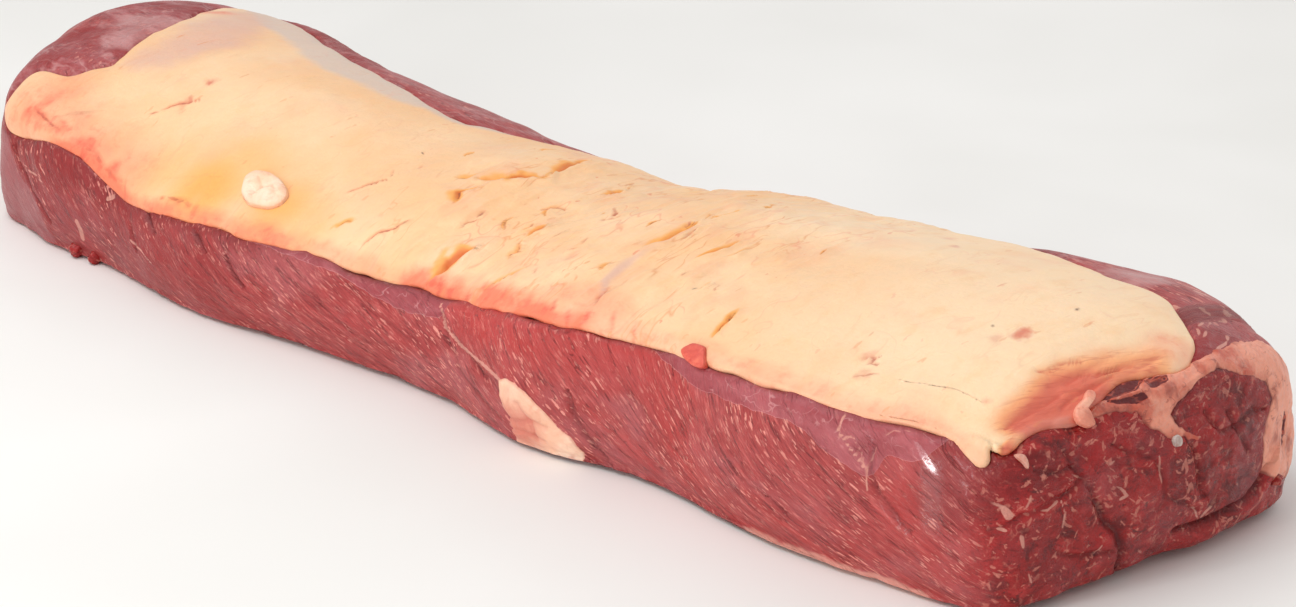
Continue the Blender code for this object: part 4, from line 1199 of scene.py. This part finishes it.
def ragged(spots, seed, amount=1.0):
    return amount * (.0011 * lumps(spots, .0045, seed) + .0006 * lumps(spots, .0018, seed + 1))


def seamDepth(spots):
    depth = outlineDepth(*endPlace(spots), np.array(seamOutline)) + ragged(spots, 161)
    return np.where(spots[..., 0] > .255, depth, -1)


def muscleDepth(spots):
    depth = outlineDepth(*endPlace(spots), np.array(muscleOutline)) + ragged(spots, 165, .6)
    return np.where(spots[..., 0] > .262, depth, -1)


def sideFatDepth(spots):
    depth = outlineDepth(spots[..., 0], spots[..., 2], np.array(sideFatOutline)) + ragged(spots, 169, .35)
    return np.where(spots[..., 1] < -.05, depth, -1)


slants = [(-.30, 1.2), (-.20, 1.35), (-.13, 1.8), (-.06, 2.25), (.0, 1.8), (.05, 1.25), (.10, 1.35), (.15, 1.6),
          (.20, 1.9), (.30, 1.8)]


topLines = [  # pale lines on the bare top of the rump end, as half width and (x, y) in mm
    (1.7, [(244, 57), (250, 62), (256, 62), (263, 60), (269, 55), (274, 47)]), (.8, [(276, 30), (274, 37), (275, 46)]),
    (.8, [(283, 23), (279, 30), (275, 38)]), (.6, [(271, 31), (277, 28), (281, 24)]),
    (1.2, [(258, 36), (264, 37), (268, 39)]), (1.0, [(250, 47), (255, 49), (260, 49)]),
    (.6, [(283, 36), (287, 30), (289, 22)]), (.7, [(262, 44), (268, 44), (272, 42)]),
]


def fibreGrain(spots):  # place across the fibres, along them, and into the meat
    x, y, z = spots[..., 0], spots[..., 1], spots[..., 2]
    slant = (alongCurve(slants, x) + .6) * z - 12 * z * z
    wave = .0035 * lumps(spots, (.045, .045, .028), 88)
    behind = ease(-.006, .006, y) * (1 - ease(.262, .275, x)) * ease(-.225, -.16, x)
    across = (x + slant) * (1 - behind) + (y + 1.1 * z + .30 * x) * behind
    along = (x - 1.2 * z) * (1 - behind) + x * behind
    return np.stack([across + wave, along, y * (1 - behind)], -1)


def leanMarks(run, turn, spots, depth):
    x, y, z = spots[..., 0], spots[..., 1], spots[..., 2]
    front = (turn < 5.6) & (y < -.045)
    endFace = ease(.893, .925, run)
    outside = depth < .0005
    masks = {"cutFace": np.maximum(endFace, 1 - ease(.040, .075, run))}
    knotsA = [(-.095, .0365), (-.080, .0370), (-.065, .0365), (-.051, .036), (-.035, .035), (-.025, .033), (-.006, .031),
              (.010, .032), (.019, .0335), (.0225, .0385)]
    knotsB = [(.124, .0520), (.132, .0505), (.142, .0480), (.151, .0460), (.165, .0465), (.178, .0470), (.195, .0480),
              (.206, .0470), (.214, .0430), (.224, .0400), (.232, .0380), (.236, .0400), (.240, .0470), (.250, .0475),
              (.257, .0530), (.262, .0600)]
    filmA = ease(-.0035, .0035, z - alongCurve(knotsA, x)) * ease(-.097, -.088, x) * (1 - ease(.0205, .0245, x))
    filmB = ease(-.0035, .0035, z - alongCurve(knotsB, x)) * ease(.120, .128, x) * (1 - ease(.258, .264, x))
    masks["film"] = np.maximum(filmA, filmB) * front
    edgeX = alongCurve([(.000, -.218), (.010, -.222), (.020, -.229), (.025, -.243), (.037, -.252), (.045, -.262)], z)
    masks["greyFilm"] = ease(.003, -.003, x - edgeX) * (1 - ease(.036, .042, z)) * (turn < 5) * (turn > .5)
    ribTop = (1 - ease(-.235, -.20, x)) * (turn > 5.0) * (turn < 10.5)
    backRim = (turn > 8.5) * (turn < 12.5) * .42
    masks["purple"] = np.maximum(ribTop * (.55 + .45 * layeredLumps(spots, (.03, .014, .02), 3, 81)), backRim) * outside
    masks["purple"] *= 1 - .55 * ease(.22, .25, x)
    masks["topFilm"] = np.zeros(run.shape)
    for film, power in (([(-.274, -.010), (-.270, .008), (-.250, .018), (-.233, .000), (-.240, -.014), (-.243, -.026),
                          (-.256, -.026), (-.262, -.012)], .75),
                        ([(.212, .052), (.222, .068), (.232, .072), (.244, .056), (.238, .046), (.225, .046)], .8)):
        depthIn = outlineDepth(x, y, np.array(film)) + .006 * layeredLumps(spots, (.010, .005, .01), 3, 180)
        masks["topFilm"] = np.maximum(masks["topFilm"], power * ease(-.008, .006, depthIn) * (turn > 6) * (turn < 12))
    topRich = np.zeros(run.shape)
    for patch in ([(-.284, -.023), (-.278, -.013), (-.268, -.009), (-.256, -.013), (-.259, -.023), (-.270, -.030)],
                  [(-.274, -.048), (-.270, -.041), (-.257, -.037), (-.255, -.045), (-.268, -.050)],
                  [(-.276, .022), (-.274, .034), (-.262, .040), (-.249, .047), (-.250, .034), (-.266, .028)],
                  [(.274, .030), (.281, .039), (.288, .042), (.291, .031), (.292, .018), (.288, .010), (.284, .014),
                   (.281, .023)]):
        depthIn = outlineDepth(x, y, np.array(patch)) + .003 * layeredLumps(spots, .008, 3, 182)
        topRich = np.maximum(topRich, ease(-.004, .003, depthIn) * (turn > 5) * (turn < 12))
    masks["topRich"] = topRich * outside
    bright = ease(-.01, .03, x) * (1 - ease(.11, .14, x)) * ease(.026, .040, z)
    bright = np.maximum(bright, ease(.225, .25, x) * (1 - ease(.280, .292, x)) * ease(.012, .03, z) * .9)
    bright = np.maximum(bright, .5 * (1 - ease(-.25, -.16, x)) * ease(.026, .036, z))
    masks["bright"] = bright * (turn < 5.6) * (turn > 1)
    dark = [(-.249, .040), (-.221, .047), (-.195, .041), (-.165, .034), (-.180, .027), (-.209, .029), (-.237, .030)]
    dark = ease(-.006, .004, outlineDepth(x, z, np.array(dark)) + .005 * layeredLumps(spots, .014, 3, 183))
    # painted shade: a band just below the cap's edge on the left is darkened to deep red
    shadeBelowCap = ease(-.018, -.003, depth) * (1 - ease(-.10, -.03, x))
    richRedAndShade = np.maximum(dark, np.maximum(.85 * shadeBelowCap, .62 * (1 - ease(-.11, -.06, x)))) * (turn < 5.6) * (turn > .5)
    corner = ease(.238, .262, x) * ease(.016, .034, z) * (y < -.06)
    masks["richRedAndShade"] = np.maximum(richRedAndShade, .9 * corner) * outside
    foot = .0022 + .0020 * lumps(spots, (.012, .02, .02), 83)
    strip = np.exp(-((z - .001) / np.maximum(foot, .0006))**2) * ease(.160, .19, x) * (1 - ease(.25, .27, x)) * front * .8
    seamLine = lineDistance(x, z, [(.018, .038), (.023, .031), (.035, .028), (.050, .026), (.062, .0235)])[0]
    strip = np.maximum(strip, .9 * np.exp(-(seamLine / .0009)**2) * front)
    for line, wide, power in (([(-.1985, .017), (-.1965, .0135), (-.1965, .010)], .0014, 1.1),
                              ([(-.180, .031), (-.1765, .0325)], .0010, 1.0), ([(-.159, .020), (-.150, .018), (-.142, .015)], .0006, .7),
                              ([(-.238, .031), (-.230, .0295), (-.220, .0275)], .0007, .7),
                              ([(.221, .0555), (.220, .050), (.226, .0455), (.233, .040), (.2335, .033)], .0009, .70),
                              ([(.221, .048), (.226, .0495), (.230, .046), (.2325, .041)], .0010, .55),
                              ([(.233, .040), (.236, .051), (.240, .055), (.248, .057)], .0007, .55),
                              ([(.227, .043), (.230, .047), (.229, .052)], .0006, .45)):
        near = lineDistance(x + .0003 * lumps(spots, .006, 173), z + .0003 * lumps(spots, .006, 174), line)[0]
        strip = np.maximum(strip, power * np.exp(-(near / wide)**2) * front)
    top = (turn > 8.2) & (turn < 11)
    sway = y + .0011 * layeredLumps(spots, .006, 2, 171)
    sway2 = z + .0011 * layeredLumps(spots, .006, 2, 172)
    broken = .55 + .75 * lumps(spots, .0045, 177)
    sway3 = x + .0009 * layeredLumps(spots, .007, 2, 178)
    for wide, line in topLines:
        near = lineDistance(sway3, sway, np.array(line) / 1000)[0]
        strip = np.maximum(strip, broken * np.exp(-(near * 1000 / wide)**2) * top)
    for wide, line in paleEndLines:
        near = lineDistance(sway, sway2, np.array(line) / 1000)[0]
        strip = np.maximum(strip, broken * np.exp(-(near * 1000 / wide)**2) * (x > .262))
    masks["paleStrip"] = strip
    veil = outlineDepth(y, z, np.array([(.020, .044), (.034, .040), (.037, .020), (.029, .013), (.021, .015),
                                        (.019, .029)]))
    masks["greyVeil"] = np.maximum(ease(-.004, .004, veil) * (x > .262), .5 * (1 - ease(-.17, -.11, x)) * (1 - dark)
                                   * front * ease(.034, .022, z + .006 * layeredLumps(spots, .02, 2, 184)))
    masks["cutBright"] = np.zeros(run.shape)
    masks["cutRich"] = np.zeros(run.shape)
    patchy = .0035 * layeredLumps(spots, .010, 3, 179)
    for name, (zy, zz), reach, power in endZones:
        near = np.hypot(y - zy / 1000, z - zz / 1000) + patchy
        masks[name] = np.maximum(masks[name], power * ease(reach / 700, reach / 2500, near) * (x > .25))
    masks["wet"] = np.exp(-((x - .2575 - .08 * (.040 - z)) / .0042)**4) * ease(.022, .028, z) * (1 - ease(.048, .052, z)) * (y < -.07)
    return masks


def leanRelief(run, turn, spots, depth):
    x, y, z = spots[..., 0], spots[..., 1], spots[..., 2]
    grain = fibreGrain(spots)
    endFace = ease(.90, .935, run)
    sides = (1 - endFace) * ease(.0, .05, run)
    height = -lean["sunk"] - ease(-.0022, -.0002, depth) * lean["underCap"]
    height -= ease(.003, .020, depth) * .003
    height -= .0010 * ease(-.0075, -.002, depth)
    bundles = layeredLumps(grain, (.0070, .038, .02), 2, 91)
    fine = lumps(grain, (.0032, .028, .012), 95)
    groove = np.clip(-bundles, 0, 1)**1.5
    height += .0045 * ease(-.245, -.268, x) * ease(.034, .008, z) * ease(.0, -.04, y)
    height += .0028 * ease(-.235, -.262, x) * ease(-.02, -.055, y) * ease(.008, .034, z)
    height += sides * (lean["fibre"] * (bundles + .45 * fine) - .0006 * groove)
    height += lean["swell"] * lumps(spots, (.055, .055, .030), 97) * (1 - ease(.0, .01, depth))
    height += .0004 * lumps(spots, .013, 98)
    shade = .25 * groove * sides
    cut = layeredLumps(spots, (.009, .011, .009), 3, 101)
    pits = np.clip(-layeredLumps(spots, (.0055, .008, .005), 3, 105) - .30, 0, 1)
    height += endFace * (lean["cutRough"] * cut - .0012 * pits)
    shade = np.maximum(shade, endFace * np.clip(pits * 1.2, 0, .5))
    wobble = lumps(spots, .006, 111) * .0011
    wobble2 = lumps(spots, .006, 112) * .0011
    for deep, wide, line in sideGrooves:
        distance, share, side = lineDistance(x + wobble, z + wobble2, np.array(line) / 1000)
        near = np.exp(-(distance * 1000 / (wide * (.5 + .5 * np.sin(share * math.pi))))**2) * (y < -.04)
        height -= deep / 1000 * near * (1 - endFace)
        shade = np.maximum(shade, .75 * near * (1 - endFace) * min(1, deep / 1.7))
    for deep, wide, line in endGrooves:
        distance, share, side = lineDistance(y + wobble, z + wobble2, np.array(line) / 1000)
        near = np.exp(-(distance * 1000 / wide)**2) * (x > .255) * endFace
        height -= deep / 1000 * near
        shade = np.maximum(shade, .8 * near * min(1, deep / 1.8))
    distance, share, side = lineDistance(y, z, np.array(endGrooves[5][2]) / 1000)
    height += .0020 * np.exp(-((distance - .005) / .004)**2) * (side < 0) * endFace * ease(.0, .2, share)
    gapZones = sum(ease(a - .006, a + .004, x) * (1 - ease(b - .004, b + .006, x))
                   for a, b in ((-.040, .024), (.064, .134), (.156, .192), (.232, .256)))
    under = np.exp(-((depth + .0022) / .0017)**2) * (y < -.05) * (depth < .001)
    height -= .0013 * under * np.clip(gapZones, 0, 1) * (1 - endFace)
    shade = np.maximum(shade, under * (.25 + .7 * np.clip(gapZones, 0, 1)))
    return height, np.clip(shade, 0, 1)


def leanBeds(spots):  # how far the lean is sunk under the pieces that lie on it
    return sum(.0024 * ease(.0010, .0028, inside(spots)) for inside in (seamDepth, muscleDepth, sideFatDepth))


def leanPiece(name, runs, turns, sunk):
    run, turn = np.meshgrid(runs, turns, indexing="ij")
    spots = skin(run, turn)
    normals = skinNormal(run, turn)
    depth = capDepth(run, turn, spots)
    height, shade = leanRelief(run, turn, spots, depth)
    height = height - leanBeds(spots) - sunk(run)
    points = spots + normals * height[..., None]
    points[..., 2] = np.maximum(points[..., 2], boxLow[2] + .0001)
    masks = leanMarks(run, turn, spots, depth)
    masks["shade"] = shade
    rows, columns = run.shape
    faces = gridFaces(rows, columns, wrap=True).tolist()
    for row, pole, turnRound in ((0, rows * columns, False), (rows - 1, rows * columns + 1, True)):
        for c in range(columns):
            pair = [row * columns + c, row * columns + (c + 1) % columns]
            faces.append([pole] + (pair[::-1] if turnRound else pair))
    flat = {key: np.concatenate([np.broadcast_to(field, run.shape).ravel(), field[0, :1], field[-1, :1]])
            for key, field in masks.items()}
    allPoints = np.vstack([points.reshape(-1, 3), points[0].mean(0), points[-1].mean(0)])
    makePiece(name, allPoints, faces, leanFinish(name), ["lean"] if name == "leanMeat" else [], flat,
              {"grain": fibreGrain(allPoints)})


def makeLean():
    steps = [np.linspace(i, i + 1, n, endpoint=False) for i, n in enumerate(lean["turnSteps"])]
    runs = np.concatenate([np.linspace(.0015, .1, lean["ribRings"], endpoint=False),
                           np.linspace(.1, lean["split"], lean["stations"]), [lean["split"] + .02, .97]])
    leanPiece("leanMeat", runs, np.concatenate(steps), lambda run: .004 * ease(lean["split"] - .001, .905, run))
    runs = np.concatenate([[.80, .87], np.linspace(lean["split"] - .003, .9985, lean["rumpRings"])])
    leanPiece("leanEnd", runs, np.linspace(0, turnCorners, lean["endTurns"], endpoint=False),
              lambda run: .006 * ease(lean["split"] - .004, .86, run))


makeLean()


def makeCover(name, runs, turns, inside, rise, material, nodes=(), masks=None, sink=.0030):
    # a thin layer that follows the lean and dips under it outside its own ragged outline
    run, turn = np.meshgrid(runs, turns, indexing="ij")
    spots = skin(run, turn)
    normals = skinNormal(run, turn)
    depth = inside(spots)
    height, shade = leanRelief(run, turn, spots, capDepth(run, turn, spots))
    height = height + .0003 + rise * ease(0, .0030, depth) - sink * ease(.0004, -.0014, depth)
    fields = {"shade": shade * .8}
    if masks:
        lift, fields = masks(run, turn, spots, depth, shade)
        height = height + lift
    points = spots + normals * height[..., None]
    faces = gridFaces(*run.shape)
    faces = faces[(depth.ravel()[faces] > -.0024).any(1)]
    used, faces = np.unique(faces, return_inverse=True)
    faces = faces.reshape(-1, 4)
    points = points.reshape(-1, 3)[used]
    points[:, 2] = np.maximum(points[:, 2], boxLow[2] + .0001)
    fields = {key: np.broadcast_to(field, run.shape).ravel()[used] for key, field in fields.items()}
    return makePiece(name, points, faces.tolist(), material, nodes, fields, {"grain": fibreGrain(points)})


# small pieces laid on the bare form
def bareForm():
    run, turn = np.meshgrid(np.linspace(.001, .999, 320), np.arange(0, 16, .1), indexing="ij")
    points = skin(run, turn)
    return BVHTree.FromPolygons(points.reshape(-1, 3).tolist(), gridFaces(*run.shape, wrap=True).tolist())


bare = bareForm()
ways = {"end": ((0, 1, 2), (-1, 0, 0)), "side": ((1, 0, 2), (0, 1, 0)), "top": ((2, 0, 1), (0, 0, -1))}


def layOn(where, flat):  # places and outward directions on the form, for points given on a flat view of it
    (far, first, second), heading = ways[where]
    spots, normals = [], []
    for a, b in flat:
        start = np.zeros(3)
        start[far] = -heading[far] * .6
        start[first], start[second] = a, b
        hit, normal = bare.ray_cast(Vector(start), Vector(heading))[:2]
        if hit is None:
            hit, normal = bare.find_nearest(Vector(start) + Vector(heading) * (.6 - .29 * (where == "end")))[:2]
        normal = normal if normal.dot(Vector(heading)) < 0 else -normal
        spots.append(hit)
        normals.append(normal)
    return np.array(spots), np.array(normals)


def makePatch(name, where, outline, rings, spokes, rise, relief, material, nodes=(), ragged=.0006, seed=0,
              edge=.0004, tuck=.004, masks=None, grained=False):
    line = smoothLine(outline, spokes, closed=True)
    centre = line.mean(0)
    wave = layeredLumps(np.column_stack([line, np.zeros(spokes)]), .006, 3, seed)
    out = unit(line - centre)
    line = line + out * (ragged * wave)[:, None]
    shares = np.concatenate([np.sin(np.linspace(0, math.pi / 2, rings + 1))[1:], [1.0, 1.0]])
    grown = np.concatenate([np.zeros(rings), [.0004, -.0012]])
    flat = [centre[None]]
    for share, extra in zip(shares, grown):
        flat.append(centre + (line - centre) * share + out * extra)
    flat = np.vstack(flat)
    spots, normals = layOn(where, flat)
    rho = np.concatenate([[0], np.repeat(shares, spokes)])
    ring = np.concatenate([[0], np.repeat(np.arange(1, rings + 3), spokes)])
    height = edge + rise * np.sqrt(np.clip(1 - rho**4, 0, 1)) + relief(spots, flat) * (1 - rho**6)
    height = np.where(ring == rings + 1, edge - .0012, height)
    height = np.where(ring == rings + 2, -tuck, height)
    points = np.vstack([spots + normals * height[:, None], spots[:1] - normals[:1] * (tuck + .001)])
    faces = []
    total = rings + 2
    for k in range(spokes):
        after = (k + 1) % spokes
        faces.append([0, 1 + k, 1 + after])
        for r in range(total - 1):
            a = 1 + r * spokes
            faces.append([a + k, a + spokes + k, a + spokes + after, a + after])
        a = 1 + (total - 1) * spokes
        faces.append([a + k, len(points) - 1, a + after])
    faces = facingOut(points, faces, normals[0])
    fields = {"shade": np.zeros(len(points))}
    if masks:
        fields = {key: np.append(value, 0) for key, value in masks(spots, flat, rho).items()}
    vectors = {"grain": fibreGrain(points)} if grained else None
    return makePiece(name, points, faces, material, nodes, fields, vectors)


def facingOut(points, faces, outward):
    a, b, c = (points[i] for i in faces[0][:3])
    return faces if np.dot(np.cross(b - a, c - a), outward) > 0 else [f[::-1] for f in faces]


# the rump end's own muscle, the seam of fat that curls round it, and the fat low on the front side
endPieces = {"muscleRise": .0002, "seamRise": .0006, "sideRise": .0007}
seamTones = {
    "base": tone(204, 92, 70),
    "pale": tone(248, 164, 138),
    "grey": tone(166, 84, 72),
    "meat": tone(104, 26, 28),
    "line": tone(232, 166, 146),
    "dark": tone(140, 54, 46),
}


def seamFinish():
    material, tree, shader, place = startFinish("seamFat", fatGloss)
    soft = useGroup(tree, mottle, {"Vector": place, "Scale": 85.0, "Low": .40, "High": .62})
    pale = sums(tree, "ADD", sums(tree, "MULTIPLY", soft, .6), maskValue(tree, "paler"), clamp=True)
    colour = blendTone(tree, pale, seamTones["base"], seamTones["pale"])
    dull = useGroup(tree, mottle, {"Vector": stretched(tree, place, (1, 1.5, .8)), "Scale": 110.0, "Low": .52,
                                   "High": .68})
    colour = blendTone(tree, sums(tree, "MULTIPLY", dull, .65), colour, seamTones["grey"])
    lines = useGroup(tree, threads, {"Vector": stretched(tree, place, (170, 130, 170)), "Width": .04, "Gaps": .50})
    colour = blendTone(tree, sums(tree, "MULTIPLY", lines, .5), colour, seamTones["line"])
    veins = useGroup(tree, threads, {"Vector": stretched(tree, place, (240, 200, 240)), "Width": .035, "Gaps": .52})
    colour = blendTone(tree, sums(tree, "MULTIPLY", veins, .6), colour, seamTones["dark"])
    waver = sums(tree, "SUBTRACT", cloud(tree, place, 240.0, 4.0, .6), .5)
    meat = spread(tree, sums(tree, "ADD", maskValue(tree, "meat"), sums(tree, "MULTIPLY", waver, 1.1)), .42, .58)
    streaks = useGroup(tree, threads, {"Vector": stretched(tree, place, (260, 90, 260)), "Width": .05, "Gaps": .45})
    meatTone = blendTone(tree, streaks, seamTones["meat"], seamTones["base"])
    colour = blendTone(tree, meat, colour, meatTone)
    colour = blendTone(tree, maskValue(tree, "shade"), colour, seamTones["dark"])
    tree.links.new(colour, shader.inputs["Base Color"])
    wet = useGroup(tree, dimples, {"Vector": place, "Scale": 260.0})
    folds = cloud(tree, place, 130.0, 3.0)
    setRelief(tree, shader, sums(tree, "ADD", wet, folds), .0008)
    return material


def seamMasks(run, turn, spots, depth, shade):
    a, b = endPlace(spots)
    meat = np.full(run.shape, -1.0)
    for outline in meatInSeam:
        meat = np.maximum(meat, outlineDepth(a, b, np.array(outline)))
    meat = ease(-.0012, .0014, meat + ragged(spots, 175, .7))
    paler = ease(.028, .044, a) * .9 + .35 * (1 - ease(.010, .022, np.hypot(a + .004, b - .068)))
    lift = .0004 * layeredLumps(spots, .007, 3, 131) - .0011 * meat
    edge = .75 * (1 - ease(.0, .0012, depth)) * ease(-.044, -.036, a) * (b < .075)
    return lift, {"meat": meat, "paler": paler, "shade": np.clip(.5 * shade + edge, 0, .85)}


def muscleMasks(run, turn, spots, depth, shade):
    a, b = endPlace(spots)
    veil = outlineDepth(spots[..., 1], spots[..., 2], np.array([(.020, .044), (.034, .040), (.037, .020),
                                                              (.029, .013), (.021, .015), (.019, .029)]))
    upper = 1 - ease(.0, .0022, depth)
    return 0, {"shade": np.clip(np.maximum(shade, .7 * upper * (b > .045)), 0, 1),
               "greyVeil": ease(-.004, .004, veil)}


def makeEndPieces():
    makeCover("seamFat", np.linspace(.886, .975, 170), np.linspace(5.0, 13.3, 430), seamDepth,
              endPieces["seamRise"], seamFinish(), ["seam_fat"], masks=seamMasks)
    makeCover("endMuscle", np.linspace(.920, .9985, 170), np.linspace(6.8, 15.3, 430), muscleDepth,
              endPieces["muscleRise"], leanFinish("endMuscle", cutOnly=True), ["end_muscle"],
              masks=muscleMasks)


def sideFatMasks(run, turn, spots, depth, shade):
    x, z = spots[..., 0], spots[..., 2]
    fold = 0
    for line in ([(.062, .012), (.070, .010), (.079, .013), (.085, .012)], [(.066, .006), (.075, .0075), (.083, .006)],
                 [(.072, .018), (.078, .012), (.080, .005)]):
        fold = fold + np.exp(-(lineDistance(x + .0008 * lumps(spots, .005, 145), z, line)[0] / .0010)**2)
    lift = .0005 * layeredLumps(spots, (.009, .01, .006), 3, 141) - .0007 * fold
    pinker = .85 * np.clip(1.5 - np.hypot((x - .071) / .010, (z - .008) / .008), 0, 1)
    rim = .55 * (1 - ease(-.0003, .0012, depth))
    return lift, {"shade": np.clip(np.maximum(pinker + .2 * fold, rim), 0, .9)}


def makeSideFat():
    finish = plainFatFinish("sideFat", tone(240, 186, 156), tone(247, 209, 183), tone(206, 114, 96), 60.0)
    makeCover("sideFat", np.linspace(.583, .655, 130), np.linspace(.05, 3.9, 130), sideFatDepth,
              endPieces["sideRise"], finish, ["side_fat"], masks=sideFatMasks)


seamRelief = lambda spots, flat: .0003 * layeredLumps(spots, (.006, .008, .004), 3, 131)


# small loose bits as (name, where, centre, half sizes, angle, rise, finish)
bits = [
    ("redBitLeft", "side", (-.2035, .0030), (.0030, .0026), 0, .0026, "flesh"),
    ("redBitRight", "side", (-.1920, .0026), (.0026, .0022), 0, .0022, "flesh"),
    ("redTip", "end", (.0470, .0160), (.0022, .0016), 0, .0020, "flesh"),
    ("redTag", "side", (.1490, .0546), (.0062, .0026), -8, .0005, "redFlesh"),
]


def makeBits():
    finishes = {"flesh": leanFinish("flesh", cutOnly=True),
                "redFlesh": plainFatFinish("redFlesh", tone(214, 84, 68), tone(232, 116, 92), tone(196, 52, 46), 190.0)}
    for seed, (name, where, (ca, cb), (long, short), angle, rise, finish) in enumerate(bits):
        turned = math.radians(angle)
        outline = []
        for k in range(9):
            a = 2 * math.pi * k / 9
            reach = 1 + .14 * cellValue(np.array([k, seed, 5]), 19)
            u, v = long * reach * math.cos(a), short * reach * math.sin(a)
            outline.append((ca + u * math.cos(turned) - v * math.sin(turned),
                            cb + u * math.sin(turned) + v * math.cos(turned)))
        makePatch(name, where, outline, 9, 40, rise, seamRelief, finishes[finish], seed=40 + seed, grained=True)


def makeFlakes():
    curl = [(-.0345, .0662), (-.0360, .0650), (-.0395, .0638), (-.0418, .0625), (-.0424, .0608), (-.0410, .0592),
            (-.0440, .0592), (-.0462, .0606), (-.0458, .0628), (-.0430, .0643), (-.0395, .0654), (-.0362, .0667)]
    makePatch("curl", "end", curl, 9, 60, .0007, seamRelief,
              plainFatFinish("curlFat", tone(234, 146, 122), tone(246, 178, 152), tone(206, 108, 88), 140.0),
              seed=45)
    finish = plainFatFinish("flakes", tone(214, 146, 128), tone(228, 170, 152), tone(180, 92, 82), 160.0)
    makePatch("endFlake", "end", [(-.0722, .0556), (-.0698, .0556), (-.0694, .0535), (-.0700, .0515), (-.0712, .0534)],
              7, 40, .0003, seamRelief, finish, seed=11)
    makePatch("seamBead", "end", [(-.0108, .0480), (-.0092, .0484), (-.0078, .0468), (-.0086, .0448), (-.0106, .0456)],
              7, 36, .0011, seamRelief, plainFatFinish("bead", tone(196, 176, 168), tone(214, 198, 190),
              tone(150, 104, 98), 200.0), seed=12)


# the pale nodule lying on the cap
noduleSize = {"x": -.100, "y": -.0625, "long": .0132, "short": .0066, "high": .0016, "angle": -10.0}


def noduleRelief(spots, flat):
    x, y = flat[:, 0] - noduleSize["x"], flat[:, 1] - noduleSize["y"]
    branches = ([(-.001, .000), (.003, .002), (.006, .001)], [(-.001, .000), (-.002, -.004)], [(-.001, .0), (-.006, .003)])
    split = sum(np.exp(-(lineDistance(x, y, line)[0] / .0006)**2) for line in branches)
    return .0004 * layeredLumps(spots, .006, 2, 151) - .0004 * split - .0007 * np.exp(-(np.hypot(x, y) / .004)**2)


def noduleShade(spots, flat, rho):
    x, y = flat[:, 0] - noduleSize["x"], flat[:, 1] - noduleSize["y"]
    branches = ([(-.001, .000), (.003, .002), (.006, .001)], [(-.001, .000), (-.002, -.004)], [(-.001, .0), (-.006, .003)])
    split = sum(np.exp(-(lineDistance(x, y, line)[0] / .0004)**2) for line in branches)
    return {"shade": np.clip(.35 * split + .3 * rho**14, 0, .6)}


def makeNodule():
    finish = plainFatFinish("nodule", tone(250, 206, 174), tone(252, 222, 196), tone(236, 164, 128), 90.0)
    angle = math.radians(noduleSize["angle"])
    outline = []
    for k, bulge in enumerate((1, 1.04, .98, .93, .97, 1.03, 1.0, .95, 1.02, 1.05, .97, .96)):
        a = 2 * math.pi * k / 12
        u, v = noduleSize["long"] * bulge * math.cos(a), noduleSize["short"] * bulge * math.sin(a)
        outline.append((noduleSize["x"] + u * math.cos(angle) - v * math.sin(angle),
                        noduleSize["y"] + u * math.sin(angle) + v * math.cos(angle)))
    makePatch("nodule", "top", outline, 22, 96, noduleSize["high"], noduleRelief, finish, ["nodule"],
              masks=noduleShade, seed=15, ragged=.0004, tuck=.002)


makeEndPieces()
makeSideFat()
makeFlakes()
makeBits()
makeNodule()


floorTone = {"colour": tone(250, 249, 247), "roughness": .6}


def makeFloor():
    material, tree, shader, place = startFinish("floor", {"Roughness": floorTone["roughness"]})
    grain = useGroup(tree, mottle, {"Vector": place, "Scale": 3.0, "Low": .3, "High": .7})
    tree.links.new(blendTone(tree, grain, floorTone["colour"], tone(241, 240, 237)), shader.inputs["Base Color"])
    bpy.ops.mesh.primitive_plane_add(size=8, location=(boxMiddle[0], boxMiddle[1], boxLow[2] - .0002))
    floor = bpy.context.object
    floor.name = "floor"
    floor.data.materials.append(material)


makeFloor()
